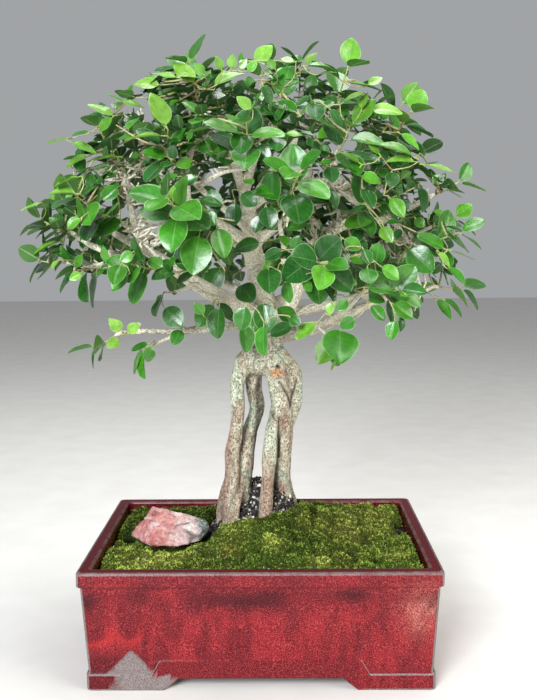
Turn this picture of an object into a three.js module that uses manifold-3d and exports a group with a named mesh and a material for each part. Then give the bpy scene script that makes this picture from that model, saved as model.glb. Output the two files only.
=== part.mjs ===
// A parrot's beak bonsai in its glazed pot, in millimetres, +Z up.
// The origin is the middle of the pot's footprint, on the surface that the pot stands on.

import * as THREE from 'three';
import { mergeVertices } from 'three/addons/utils/BufferGeometryUtils.js';
import Module from 'manifold-3d';

const wasm = await Module();
wasm.setup();

// Driving dimensions
const pot = {
  length: 356, // over the rim
  depth: 254,
  height: 122,
  rim: 13, // width of the rim's top face
  lip: 15, // height of the lip
  overhang: 3, // how far the lip stands out over the wall
  taper: 5.5, // how far each wall leans in on its way down
  floor: 20, // height of the floor's upper face
  foot: 2, // how far the plinth and feet stand out from the wall
  corner: 5, // radius of the upright corners
  footTop: 17,
  archTop: 12, // underside of the bands between the feet
  bandTop: 31,
  footShare: 0.44, // of each half side that its foot takes
  drainRadius: 11,
  drainX: 75,
};
const gap = 0.3; // between pieces that rest against each other
const clearance = 60; // how far cutting shapes run past what they cut
const soilLevel = 104;
const mounds = [ // where the soil rises, with half widths
  { x: 3, y: 20, width: 62, height: 41 },
  { x: -6, y: 30, width: 24, height: 27 },
  { x: 80, y: 100, width: 90, height: 4 },
];
const moss = { thickness: 9, wallGap: 1.5, seam: 0.4, sink: 5, ripple: 1.6 };
const mossMound = { x: 26, y: -64, width: 40, height: 6 };
const bareSoil = { x: -1, y: 27, halfWidth: 54, halfDepth: 42 };
const stone = { x: -94, y: -11, length: 84, depth: 46, height: 39 };
const mesh = { side: 44, thickness: 1.5, bar: 3.5, count: 3 };
const crown = { x: -6, y: -4, z: 440, halfWidth: 236, halfDepth: 186, rise: 205, drop: 92, spacing: 51 };
const twig = { length: 38, radius: 1.5, tipRadius: 0.9, tip: 5 };
const leaf = { length: 34, width: 25, thickness: 1.5, arch: 3.4 };
const sprayCount = 50;
const leafPairs = 3;

// Solids from three.js geometry, and back again
function solid(geometry) {
  geometry.deleteAttribute('normal');
  geometry.deleteAttribute('uv');
  const merged = mergeVertices(geometry, 1e-4);
  return new wasm.Manifold(new wasm.Mesh({
    numProp: 3,
    vertProperties: Float32Array.from(merged.attributes.position.array),
    triVerts: Uint32Array.from(merged.index.array),
  }));
}

function geometryOf(body) {
  const { vertProperties, triVerts } = body.getMesh();
  const geometry = new THREE.BufferGeometry();
  geometry.setAttribute('position', new THREE.BufferAttribute(vertProperties, 3));
  geometry.setIndex(new THREE.BufferAttribute(triVerts, 1));
  geometry.computeVertexNormals();
  return geometry;
}

function finish(color, roughness) {
  return new THREE.MeshStandardMaterial({ color, roughness, metalness: 0, flatShading: true });
}

const glaze = finish(0x5c1420, 0.25);
const earth = finish(0x241d18, 0.95);
const greenMoss = finish(0x5f7d24, 0.95);
const redStone = finish(0xb5655f, 0.7);
const bark = finish(0x9a8b76, 0.85);
const darkLeaf = finish(0x2c6b34, 0.45);
const freshLeaf = finish(0x6cb33f, 0.5);
const blackPlastic = finish(0x1b1b1b, 0.6);

const bonsai = new THREE.Group();

function place(name, body, material) {
  const piece = new THREE.Mesh(geometryOf(body), material);
  piece.name = name;
  bonsai.add(piece);
}

function move(geometry, change) {
  const points = geometry.attributes.position;
  for (let i = 0; i < points.count; i += 1) {
    points.setXYZ(i, ...change(points.getX(i), points.getY(i), points.getZ(i)));
  }
  return geometry;
}

function joined(bodies) {
  return bodies.reduce((whole, body) => whole.add(body));
}

// Pot
function roundedRectangle(halfX, halfY, radius) {
  const shape = new THREE.Shape();
  shape.moveTo(-halfX + radius, -halfY);
  shape.lineTo(halfX - radius, -halfY);
  shape.absarc(halfX - radius, -halfY + radius, radius, -Math.PI / 2, 0);
  shape.lineTo(halfX, halfY - radius);
  shape.absarc(halfX - radius, halfY - radius, radius, 0, Math.PI / 2);
  shape.lineTo(-halfX + radius, halfY);
  shape.absarc(-halfX + radius, halfY - radius, radius, Math.PI / 2, Math.PI);
  shape.lineTo(-halfX, -halfY + radius);
  shape.absarc(-halfX + radius, -halfY + radius, radius, Math.PI, 1.5 * Math.PI);
  return shape;
}

// A rounded block between two heights, whose half sizes change by `lean` from bottom to top
function block(halfX, halfY, bottom, top, lean, radius = pot.corner) {
  const height = top - bottom;
  const shape = roundedRectangle(halfX, halfY, radius);
  const geometry = new THREE.ExtrudeGeometry(shape, { depth: height, bevelEnabled: false, curveSegments: 2 });
  return solid(move(geometry, (x, y, z) => [
    x * (1 + (lean / halfX) * (z / height)),
    y * (1 + (lean / halfY) * (z / height)),
    z + bottom,
  ]));
}

const wallX = pot.length / 2 - pot.overhang - pot.taper; // half sizes of the wall at the floor
const wallY = pot.depth / 2 - pot.overhang - pot.taper;
const lipBottom = pot.height - pot.lip;
const cavityX = pot.length / 2 - pot.rim - 7; // half sizes of the cavity at the floor
const cavityY = pot.depth / 2 - pot.rim - 7;
const cavityLean = 7; // how far each side of the cavity leans out, up to the rim

// The space inside the pot's walls and on above them, less a margin all round
function cavity(margin) {
  const bottom = margin > 0 ? pot.floor + gap : pot.floor;
  const top = pot.height + clearance;
  const lean = (cavityLean * (top - bottom)) / (pot.height - pot.floor);
  return block(cavityX - margin, cavityY - margin, bottom, top, lean);
}

// One side's plinth: a foot at each end, joined by a band that steps up over an arch
function plinth(half, thickness) {
  const footEnd = half * (1 - pot.footShare);
  const archEnd = footEnd - 15;
  const bandEnd = footEnd + 3;
  const stepEnd = footEnd + 11;
  const outline = [
    [half, 0], [half, pot.footTop], [stepEnd, pot.footTop], [bandEnd, pot.bandTop],
    [-bandEnd, pot.bandTop], [-stepEnd, pot.footTop], [-half, pot.footTop], [-half, 0],
    [-footEnd, 0], [-archEnd, pot.archTop], [archEnd, pot.archTop], [footEnd, 0],
  ];
  const shape = new THREE.Shape(outline.map(([x, y]) => new THREE.Vector2(x, y)));
  return new THREE.ExtrudeGeometry(shape, { depth: thickness, bevelEnabled: false }).rotateX(Math.PI / 2);
}

function buildPot() {
  const footX = wallX + pot.foot;
  const footY = wallY + pot.foot;
  const thickness = 17;
  const wall = block(wallX, wallY, pot.archTop, lipBottom + 1, pot.taper);
  const lip = block(pot.length / 2, pot.depth / 2, lipBottom, pot.height, 0);
  const bands = [
    plinth(footX, thickness).translate(0, -footY + thickness, 0),
    plinth(footX, thickness).translate(0, footY, 0),
    plinth(footY, thickness).rotateZ(Math.PI / 2).translate(footX - thickness, 0, 0),
    plinth(footY, thickness).rotateZ(Math.PI / 2).translate(-footX, 0, 0),
  ];
  let body = joined([wall, lip, ...bands.map(solid)]);
  body = body.subtract(cavity(0));
  for (const x of [-pot.drainX, pot.drainX]) {
    const hole = new THREE.CylinderGeometry(pot.drainRadius, pot.drainRadius, clearance, 12);
    body = body.subtract(solid(hole.rotateX(Math.PI / 2).translate(x, 0, 0)));
  }
  return body;
}

place('pot', buildPot(), glaze);

// Drain meshes: a square of plastic grid over each drainage hole
function drainMesh(x) {
  const pitch = (mesh.side - mesh.bar) / mesh.count;
  const hole = pitch - mesh.bar;
  const first = (-pitch * (mesh.count - 1)) / 2;
  let grid = solid(new THREE.BoxGeometry(mesh.side, mesh.side, mesh.thickness));
  for (let column = 0; column < mesh.count; column += 1) {
    for (let row = 0; row < mesh.count; row += 1) {
      const opening = new THREE.BoxGeometry(hole, hole, 3 * mesh.thickness);
      grid = grid.subtract(solid(opening.translate(first + column * pitch, first + row * pitch, 0)));
    }
  }
  return grid.translate([x, 0, pot.floor + gap + mesh.thickness / 2]);
}

place('drain_mesh_left', drainMesh(-pot.drainX), blackPlastic);
place('drain_mesh_right', drainMesh(pot.drainX), blackPlastic);

// Limbs: tubes bent along their points, each point being [x, y, z, radius]
const point = ([x, y, z]) => new THREE.Vector3(x, y, z);

function limb(points, sides, steps, grow = 0) {
  const path = new THREE.CatmullRomCurve3(points.map(point));
  const normal = new THREE.Vector3(0.6, -0.7, 0.4); // turned square to the path below
  const rows = [];
  for (let i = 0; i <= steps; i += 1) {
    const along = (i / steps) * (points.length - 1);
    const before = Math.min(Math.floor(along), points.length - 2);
    const part = along - before;
    const tangent = path.getTangent(i / steps);
    normal.addScaledVector(tangent, -normal.dot(tangent)).normalize();
    rows.push({
      centre: path.getPoint(i / steps),
      radius: points[before][3] * (1 - part) + points[before + 1][3] * part + grow,
      normal: normal.clone(),
      side: tangent.cross(normal),
    });
  }
  const tube = new THREE.CylinderGeometry(1, 1, 1, sides, steps);
  return solid(move(tube, (x, y, z) => {
    const { centre, radius, normal: across, side } = rows[Math.round((0.5 - y) * steps)];
    return centre.clone().addScaledVector(across, x * radius).addScaledVector(side, z * radius).toArray();
  }));
}

// Stems and roots from the shoulder down into the soil
const stems = [
  [[-18, 10, 312, 10], [-25, 4, 285, 8], [-25, 0, 250, 7.4], [-31, 1, 212, 8.2], [-33, 3, 170, 8.6],
    [-36, 5, 135, 8], [-36, 6, 72, 6]],
  [[-8, 22, 302, 10], [-8, 25, 278, 9.4], [-5, 27, 254, 8.6], [-13, 21, 228, 8.6], [-18, 13, 196, 9.4],
    [-20, 16, 160, 9.4], [-19, 22, 120, 7], [-18, 24, 76, 5.5]],
  [[18, 10, 304, 13], [21, 9, 278, 12.4], [24, 9, 254, 11], [25, 11, 232, 9.8], [23, 13, 200, 9.2],
    [23, 18, 165, 9.4], [25, 22, 130, 8.4], [27, 26, 72, 6]],
  [[22, 4, 268, 8], [15, 0, 246, 7.8], [10, -3, 218, 7.8], [7, -6, 180, 7.8], [4, -8, 135, 7.2],
    [3, -8, 74, 5.4]],
  [[26, 13, 310, 8], [36.5, 13, 298, 8], [38.5, 14, 277, 7.8], [37, 14, 258, 6.6], [30, 13, 238, 5.5]],
];
const flares = [
  [[-32, 4, 190, 5], [-40, 11, 168, 5.2], [-46, 18, 146, 4.8], [-51, 23, 96, 3.4]],
  [[-20, 14, 184, 5], [-24, 5, 164, 4.6], [-28, -2, 146, 4.2], [-31, -5, 94, 3.2]],
  [[26, 18, 184, 5.2], [30, 27, 162, 5], [35, 36, 142, 4.8], [38, 41, 98, 3.4]],
];

// Shoulder and trunk
const trunk = [
  [[-24, 11, 302, 11], [-11, 14, 308, 17], [7, 15, 310, 19], [22, 13, 305, 16], [33, 13, 300, 10]],
  [[6, 17, 312, 15], [12, 18, 335, 14], [8, 18, 362, 13], [-2, 20, 395, 11.5], [-8, 22, 433, 10],
    [-12, 24, 471, 8.6], [-18, 24, 500, 6.5]],
];

// Limbs that carry the crown, from the trunk outwards
const limbs = {
  upLeft: [[-17, 24, 494, 6.5], [-29, 18, 524, 5], [-42, 14, 553, 3.6], [-54, 10, 572, 2.2]],
  upBack: [[-18, 26, 496, 6.5], [-24, 36, 531, 5], [-15, 46, 566, 3.6], [-4, 50, 586, 2.2]],
  upRight: [[-12, 24, 473, 6], [14, 26, 512, 5], [42, 30, 548, 3.6], [58, 34, 566, 2.2]],
  upFront: [[-16, 22, 486, 5.5], [-6, -12, 516, 4], [8, -46, 540, 3], [16, -72, 548, 2.2]],
  arch: [[-12, 20, 474, 6.4], [17, 10, 490, 5.8], [50, 0, 497, 5.4], [82, -9, 495, 5], [104, -10, 477, 4.4],
    [118, -4, 486, 3.6], [134, 0, 500, 2.4]],
  archUp: [[50, 0, 496, 4.4], [53, -3, 521, 3.6], [47, -8, 550, 3], [42, -14, 570, 2.2]],
  archRight: [[88, -9, 492, 4.2], [108, -2, 514, 3.4], [122, 4, 540, 2.8], [126, 8, 546, 2.2]],
  right: [[15, 16, 342, 9.5], [31, 10, 366, 8.6], [41, 4, 392, 8], [56, -3, 417, 7.4], [78, -12, 450, 6.6],
    [100, -16, 456, 6], [122, -18, 456, 5.6]],
  rightUp: [[34, 7, 380, 5], [29, -4, 405, 4], [26, -14, 430, 3.2], [22, -30, 456, 2.4]],
  rightFar: [[118, -18, 455, 4.4], [146, -22, 466, 3.4], [176, -26, 482, 2.4]],
  rightMiddle: [[56, -2, 417, 5.4], [88, 6, 419, 4.8], [125, 8, 425, 4.2], [155, 4, 440, 3.2],
    [177, -2, 450, 2.3]],
  rightLow: [[22, 12, 336, 8.5], [43, -2, 342, 7], [66, -11, 349, 6], [96, -20, 364, 5.2],
    [142, -28, 383, 4.2], [164, -27, 384, 3], [181, -23, 390, 2.3]],
  rightBack: [[22, 16, 356, 7], [63, 28, 366, 5.4], [100, 44, 374, 4], [138, 62, 386, 2.4]],
  rightHigh: [[-6, 22, 436, 6.6], [20, 30, 454, 5.4], [62, 44, 478, 4], [108, 58, 496, 2.4]],
  left: [[2, 12, 350, 11], [-22, 1, 369, 9.4], [-54, -12, 387, 8.2], [-80, -20, 405, 7.6], [-104, -24, 421, 6.8]],
  leftOut: [[-101, -24, 419, 6.4], [-119, -28, 412, 5.4], [-149, -34, 426, 4.4], [-172, -36, 436, 3.2],
    [-192, -36, 449, 2.4]],
  leftTip: [[-145, -33, 423, 4], [-157, -38, 416, 3.4], [-177, -43, 415, 3], [-190, -45, 418, 2.4]],
  leftBack: [[-102, -22, 420, 6.4], [-128, -6, 434, 5], [-156, 12, 448, 3.6], [-182, 26, 465, 2.4]],
  leftUp: [[-126, -8, 433, 4.6], [-130, -12, 460, 3.8], [-137, -14, 490, 3], [-140, -16, 514, 2.2]],
  leftLow: [[2, 8, 340, 7.5], [-24, -8, 349, 5.4], [-54, -16, 347, 4.6], [-90, -24, 345, 3.8],
    [-122, -28, 346, 3], [-146, -30, 344, 2.4]],
  leftHigh: [[-8, 22, 434, 7], [-42, 18, 456, 5.6], [-78, 12, 484, 4.4], [-116, 6, 520, 2.4]],
  backLeft: [[-8, 26, 424, 7], [-35, 60, 442, 5.6], [-68, 92, 462, 4], [-96, 114, 484, 2.4]],
  backRight: [[0, 28, 408, 7], [35, 60, 424, 5.6], [75, 88, 442, 4], [110, 106, 462, 2.4]],
  back: [[-10, 30, 454, 6], [-4, 68, 478, 4.8], [4, 94, 498, 3.4], [8, 114, 518, 2.3]],
  backLowLeft: [[6, 24, 374, 6], [-24, 60, 384, 4.8], [-54, 94, 396, 3.4], [-82, 112, 410, 2.3]],
  backLowRight: [[10, 24, 368, 6], [28, 62, 376, 4.8], [44, 100, 388, 3.4], [56, 126, 402, 2.3]],
  frontHigh: [[-6, 14, 444, 5.4], [-24, -22, 462, 4.4], [-48, -56, 482, 3.4], [-66, -84, 500, 2.3]],
  frontRight: [[0, 10, 402, 5.4], [26, -26, 418, 4.4], [54, -60, 436, 3.4], [78, -84, 456, 2.3]],
  frontLowLeft: [[-30, -3, 372, 5], [-46, -34, 380, 3.8], [-66, -66, 394, 3], [-86, -88, 412, 2.3]],
  frontLowRight: [[62, -10, 348, 4.8], [74, -40, 358, 3.6], [88, -70, 372, 2.9], [104, -92, 390, 2.3]],
};

// Short stubs that carry a few leaves of their own low on the limbs
const spurs = {
  hanging: [[-54, -16, 349, 2.2], [-52, -21, 358, 1.8], [-50, -27, 364, 1.6]],
  lowLeft: [[-84, -22, 344, 2.2], [-94, -28, 339, 1.9], [-104, -32, 335, 1.6]],
  midLeft: [[-54, -12, 386, 2.4], [-64, -22, 391, 2], [-82, -30, 388, 1.6]],
  shoulder: [[14, 6, 348, 2.4], [16, -8, 356, 2], [16, -17, 362, 1.6]],
  glossy: [[60, -9, 347, 2.4], [64, -20, 346, 2], [67, -28, 343, 1.6]],
};

const rootSteps = (points) => points.length + 1;

function soilHole(points) {
  const deeper = points.map(([x, y, z, radius]) => [x, y, z, radius + gap]);
  deeper[deeper.length - 1][2] -= gap;
  return limb(deeper, 6, rootSteps(points));
}

const roots = [...stems, ...flares];
const rootHoles = joined(roots.map(soilHole));

// Soil: it fills the cavity and rises between the stems
function bump(x, y, { x: centreX, y: centreY, width, height }) {
  const away = ((x - centreX) ** 2 + (y - centreY) ** 2) / width ** 2;
  return height * Math.exp(-away);
}

function ground(x, y) {
  return mounds.reduce((height, mound) => height + bump(x, y, mound), soilLevel);
}

const columns = 11;
const lines = 8;

// A slab between two height functions, on a grid that is finer in the middle
function slab(lower, upper) {
  const spread = (u) => u * (0.62 + 0.38 * u * u);
  return solid(move(new THREE.BoxGeometry(2, 2, 1, columns, lines, 1), (u, v, side) => {
    const x = (spread(u) * pot.length) / 2;
    const y = (spread(v) * pot.depth) / 2;
    return [x, y, side > 0 ? upper(x, y) : lower(x, y)];
  }));
}

const soilBlock = slab(() => 0, ground).intersect(cavity(gap));

function buildSoil() {
  let soil = soilBlock.subtract(rootHoles);
  const side = mesh.side + 2 * gap;
  const height = 2 * (mesh.thickness + gap);
  for (const x of [-pot.drainX, pot.drainX]) {
    soil = soil.subtract(solid(new THREE.BoxGeometry(side, side, height).translate(x, 0, pot.floor + gap)));
  }
  return soil;
}

place('soil', buildSoil(), earth);

// The moss's upper face, with a hollow where the stone lies
function mossTop(x, y) {
  const hollow = { x: stone.x, y: stone.y, width: 46, height: 3 };
  const ripple = moss.ripple * Math.sin(x / 17 + 1) * Math.cos(y / 14);
  return ground(x, y) + moss.thickness + ripple + bump(x, y, mossMound) - bump(x, y, hollow);
}

// Stone: a low block with a high left shoulder, flat underneath
function buildStone(grow = 0) {
  const flatUnder = 0.5; // where the ball is cut off, in parts of its radius
  const reach = { x: 1.03, y: 0.95, z: 1.04 }; // how far the facets come, in the same parts
  const ball = move(new THREE.SphereGeometry(1, 9, 6).rotateX(Math.PI / 2), (x, y, z) => {
    const facet = 1 + 0.09 * Math.sin(5 * x + 2 * y + 1.3 * z) + 0.07 * Math.cos(4 * z - 3 * y);
    const lean = 1 - 0.3 * x;
    return [x * facet, y * facet, Math.max(z * lean * facet, -flatUnder)];
  });
  const halfLength = stone.length / 2 / reach.x + grow;
  const halfDepth = stone.depth / 2 / reach.y + grow;
  const upwards = stone.height / (reach.z + flatUnder);
  const seat = mossTop(stone.x, stone.y) + 1;
  return solid(move(ball, (x, y, z) => [
    stone.x + x * halfLength,
    stone.y + y * halfDepth,
    seat + flatUnder * upwards + z * (upwards + grow),
  ]));
}

place('stone', buildStone(), redStone);

// Moss: four cushions round the bare soil at the stems' feet
function wedge(from, to) {
  const centre = new THREE.Vector2(bareSoil.x, bareSoil.y);
  const middle = (from + to) / 2;
  const reach = 700;
  const inset = moss.seam / Math.sin((to - from) / 2);
  const start = centre.clone().add(new THREE.Vector2(Math.cos(middle), Math.sin(middle)).multiplyScalar(inset));
  const corners = [from, middle, to].map((angle) => start.clone()
    .add(new THREE.Vector2(Math.cos(angle), Math.sin(angle)).multiplyScalar(reach)));
  const prism = new THREE.ExtrudeGeometry(new THREE.Shape([start, ...corners]), {
    depth: 2 * clearance,
    bevelEnabled: false,
  });
  return solid(prism.translate(0, 0, soilLevel - clearance));
}

function buildMoss() {
  const layer = slab((x, y) => ground(x, y) - moss.sink, mossTop).intersect(cavity(moss.wallGap));
  const opening = new THREE.CylinderGeometry(1, 1, 3 * clearance, 14).rotateX(Math.PI / 2)
    .scale(bareSoil.halfWidth, bareSoil.halfDepth, 1).translate(bareSoil.x, bareSoil.y, soilLevel);
  return layer
    .subtract(soilBlock.translate([0, 0, gap]))
    .subtract(solid(opening))
    .subtract(buildStone(2 * gap))
    .subtract(rootHoles);
}

const mossLayer = buildMoss();
const mossEdges = {
  moss_front: [-2.5, -0.75],
  moss_right: [-0.75, 0.6],
  moss_back: [0.6, 2.65],
  moss_left: [2.65, 2 * Math.PI - 2.5],
};
for (const [name, [from, to]] of Object.entries(mossEdges)) {
  place(name, mossLayer.intersect(wedge(from, to)), greenMoss);
}

// Crown: seats for the leafy sprays at the ends of the limbs, then evenly over the dome
const shoots = {
  long: { length: twig.length, pairs: leafPairs, droop: 0.15 },
  outer: { length: 24, pairs: leafPairs - 1, droop: 0.15 },
  short: { length: 12, pairs: 1, droop: 1.3 },
  dome: { length: 44, pairs: leafPairs + 1, droop: 0.15, swell: 1.12 },
};
const bareEnds = ['right', 'left']; // limbs that end in a pruned stub or a fork
const outerEnds = ['leftOut', 'leftTip', 'leftLow', 'rightLow', 'rightMiddle', 'rightFar'];
const seats = [];
const up = new THREE.Vector3(0, 0, 1);
const crownCentre = new THREE.Vector3(crown.x, crown.y, crown.z);
function outward(from) {
  const away = from.clone().sub(crownCentre);
  away.x /= crown.halfWidth;
  away.y /= crown.halfDepth;
  away.z /= away.z > 0 ? crown.rise : crown.drop;
  return away.normalize();
}

// Each limb ends in a short tip, and a shoot grows on from it
function addTip(points, bend, shoot) {
  const end = point(points[points.length - 1]);
  const before = point(points[points.length - 2]);
  const heading = end.clone().sub(before).normalize().addScaledVector(outward(end), bend).normalize();
  const seat = end.addScaledVector(heading, twig.tip);
  points.push([...seat.toArray(), twig.radius]);
  seats.push({ seat, heading, ...shoot });
}

for (const [name, points] of Object.entries(limbs)) {
  if (!bareEnds.includes(name)) {
    addTip(points, 1, outerEnds.includes(name) ? shoots.outer : shoots.long);
  }
}
for (const points of Object.values(spurs)) {
  addTip(points, 0, shoots.short);
}

// Where a branchlet leaves the wood for a seat: close by, and not much further out than the seat
function nearestLimbPoint(seat) {
  const shortest = 25;
  let best = { cost: Infinity };
  for (const points of [...trunk, ...Object.values(limbs)]) {
    for (let i = 0; i < points.length - 1; i += 1) {
      for (const part of [0, 0.5]) {
        const [x, y, z, radius] = points[i].map((value, k) => value + (points[i + 1][k] - value) * part);
        const start = new THREE.Vector3(x, y, z);
        const reach = start.distanceTo(seat);
        const inwards = start.distanceTo(crownCentre) - seat.distanceTo(crownCentre);
        const cost = reach + Math.max(0, inwards + 20) * 2;
        if (cost < best.cost && reach > shortest) {
          best = { cost, start, radius };
        }
      }
    }
  }
  return best;
}

const branchletRadii = [2.8, 2.2, 1.8];
const branchlets = [];

// Seats over the dome, in an even order that is neither a grid nor a spiral
function addDomeSeats() {
  const tries = 200;
  const lowest = -0.62; // height of the lowest seats, in parts of the dome's drop
  const evenSteps = [0.7548776662, 0.569840291];
  const depth = twig.length + 0.55 * leaf.length;
  for (let i = 1; i <= tries && seats.length < sprayCount; i += 1) {
    const height = 1 - (1 - lowest) * ((i * evenSteps[0]) % 1);
    const turn = 2 * Math.PI * ((i * evenSteps[1]) % 1);
    const round = Math.sqrt(1 - height * height);
    const direction = new THREE.Vector3(round * Math.cos(turn), round * Math.sin(turn), height);
    const surface = new THREE.Vector3(
      crown.x + direction.x * crown.halfWidth,
      crown.y + direction.y * crown.halfDepth,
      crown.z + direction.z * (height > 0 ? crown.rise : crown.drop),
    );
    const heading = direction.clone().addScaledVector(up, 0.25).normalize();
    const seat = surface.addScaledVector(direction, -depth);
    if (seats.some((other) => other.seat.distanceTo(seat) < crown.spacing)) {
      continue;
    }
    const { start, radius } = nearestLimbPoint(seat);
    const before = seat.clone().addScaledVector(heading, -twig.tip);
    const middle = start.clone().lerp(before, 0.5).addScaledVector(up, 0.06 * start.distanceTo(seat));
    const [thick, medium, thin] = branchletRadii;
    branchlets.push([
      [...start.toArray(), Math.min(radius, thick)],
      [...middle.toArray(), medium],
      [...before.toArray(), thin],
      [...seat.toArray(), twig.radius],
    ]);
    seats.push({ seat, heading, ...shoots.dome });
  }
}

addDomeSeats();

const wood = joined([
  ...roots.map((points) => limb(points, 6, rootSteps(points))),
  ...trunk.map((points) => limb(points, 8, points.length + 1)),
  ...Object.values(limbs).map((points) => {
    const sides = points[0][3] > 6 ? 5 : 4;
    return limb(points, sides, Math.max(3, points.length - 2));
  }),
  ...Object.values(spurs).map((points) => limb(points, 4, 3)),
  ...branchlets.map((points) => limb(points, 4, 3)),
]);
place('trunk', wood, bark);

// Leaves: an ovate blade with a keel under its midrib, on a short stalk that starts in the twig.
// Each row holds a part of the length, of the width and of the keel's depth.
const bladeRows = [[0, 0, 0], [0.14, 0.13, 1], [0.42, 1, 1], [0.75, 0.76, 0.8], [1, 0, 0]];

function blade({ base, along, face, length, width }) {
  const across = along.clone().cross(face);
  const last = bladeRows.length - 1;
  const ball = new THREE.SphereGeometry(1, 3, last);
  return solid(move(ball, (x, y, z) => {
    const [part, spread, deep] = bladeRows[Math.round((last * Math.acos(y)) / Math.PI)];
    const side = Math.sign(Math.round(2 * z));
    const skin = side === 0 ? -0.5 : 0.5;
    return base.clone()
      .addScaledVector(along, part * length)
      .addScaledVector(across, (side * spread * width) / 2)
      .addScaledVector(face, skin * deep * leaf.thickness - leaf.arch * part * part)
      .toArray();
  }));
}

// Spots on each leaf, twig and limb, which the leaves of other sprays keep clear of
const spots = [];
const leafReach = 4.4;

function limbSpots(points, owner) {
  for (let i = 0; i < points.length - 1; i += 1) {
    const start = point(points[i]);
    const end = point(points[i + 1]);
    const count = Math.ceil(start.distanceTo(end) / 5);
    for (let k = 0; k <= count; k += 1) {
      const reach = points[i][3] + ((points[i + 1][3] - points[i][3]) * k) / count;
      spots.push({ at: start.clone().lerp(end, k / count), reach, owner });
    }
  }
}

function leafSpots({ base, along, face, length, width }, owner) {
  const across = face.clone().cross(along);
  const midrib = [0.2, 0.4, 0.6, 0.8, 1].map((part) => [part, 0]);
  const marks = [...midrib, [0.4, 0.4], [0.4, -0.4], [0.72, 0.3], [0.72, -0.3]];
  return marks.map(([part, side]) => ({
    at: base.clone()
      .addScaledVector(along, part * length)
      .addScaledVector(across, side * width)
      .addScaledVector(face, -leaf.arch * part * part),
    reach: leafReach,
    owner,
  }));
}

function isClear(own, owner) {
  return own.every((spot) => spots.every((other) => {
    const apart = spot.at.distanceTo(other.at);
    if (other.owner === owner) {
      return other.reach < leafReach || apart > leafReach;
    }
    return apart > spot.reach + other.reach;
  }));
}

// The same draws on every run
let draws = 20251;
function between(low, high) {
  draws = (draws * 48271) % 2147483647;
  return low + ((high - low) * draws) / 2147483647;
}

// A shoot's line from its seat, which bends up towards the light
function twigLine({ seat, heading, length }) {
  const start = seat.clone().addScaledVector(heading, gap);
  const middle = seat.clone().addScaledVector(heading, length / 2);
  const tip = seat.clone().addScaledVector(heading, length).addScaledVector(up, 0.12 * length);
  return [
    [...start.toArray(), twig.radius],
    [...middle.toArray(), (twig.radius + twig.tipRadius) / 2],
    [...tip.toArray(), twig.tipRadius],
  ];
}

function pairOfLeaves(spray, line, k, owner) {
  const { heading, pairs, droop, swell = 1 } = spray;
  const last = k === pairs - 1;
  const part = (k + 1) / pairs;
  const base = part < 0.5
    ? point(line[0]).lerp(point(line[1]), 2 * part)
    : point(line[1]).lerp(point(line[2]), 2 * part - 1 - 0.03);
  const level = new THREE.Vector3(-heading.y, heading.x, 0);
  const sideways = level.length() > 0.1 ? level.normalize() : new THREE.Vector3(1, 0, 0);
  const upright = heading.clone().cross(sideways);
  const angle = k * 1.35 + between(-0.35, 0.35);
  const found = [];
  for (const side of [-1, 1]) {
    const open = last && pairs > 1 ? between(0.5, 0.8) : between(0.95, 1.25);
    const size = swell * (last && pairs > 1 ? 0.8 : 1) * between(0.86, 1.1);
    for (const turn of [0, 0.4, -0.4, 0.8, -0.8]) {
      const away = sideways.clone().multiplyScalar(Math.cos(angle + turn) * side)
        .addScaledVector(upright, Math.sin(angle + turn) * side);
      const along = heading.clone().multiplyScalar(Math.cos(open))
        .addScaledVector(away, Math.sin(open))
        .addScaledVector(up, -droop)
        .normalize();
      const towards = heading.clone().multiplyScalar(0.7).addScaledVector(up, 0.5);
      const face = towards.addScaledVector(along, -towards.dot(along)).normalize();
      const one = { base, along, face, length: leaf.length * size, width: leaf.width * size };
      const own = leafSpots(one, owner);
      if (isClear(own, owner)) {
        spots.push(...own);
        found.push(one);
        break;
      }
    }
  }
  return found;
}

const youngAbove = 500; // sprays seated higher than this carry fresh leaves, and so does every fourth

function buildSprays() {
  const wooden = [...stems, ...trunk, ...Object.values(limbs), ...Object.values(spurs), ...branchlets];
  wooden.forEach((points) => limbSpots(points, 'wood'));
  const lines = seats.map(twigLine);
  lines.forEach((line, i) => limbSpots(line, i));
  seats.forEach((spray, i) => {
    const line = lines[i];
    const leaves = [];
    for (let k = 0; k < spray.pairs; k += 1) {
      leaves.push(...pairOfLeaves(spray, line, k, i));
    }
    const body = joined([limb(line, 3, 2), ...leaves.map(blade)]);
    const young = spray.seat.z > youngAbove || i % 4 === 0;
    place(`spray_${String(i + 1).padStart(2, '0')}`, body, young ? freshLeaf : darkLeaf);
  });
}

buildSprays();

export default bonsai;
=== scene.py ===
"""A parrot's beak bonsai in its glazed pot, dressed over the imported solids.

Sizes are in millimetres: +X to the right, +Y away from the front, +Z up from the surface that the pot
stands on. Each mesh is turned to metres when its piece is made.
"""

import itertools
import math

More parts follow.
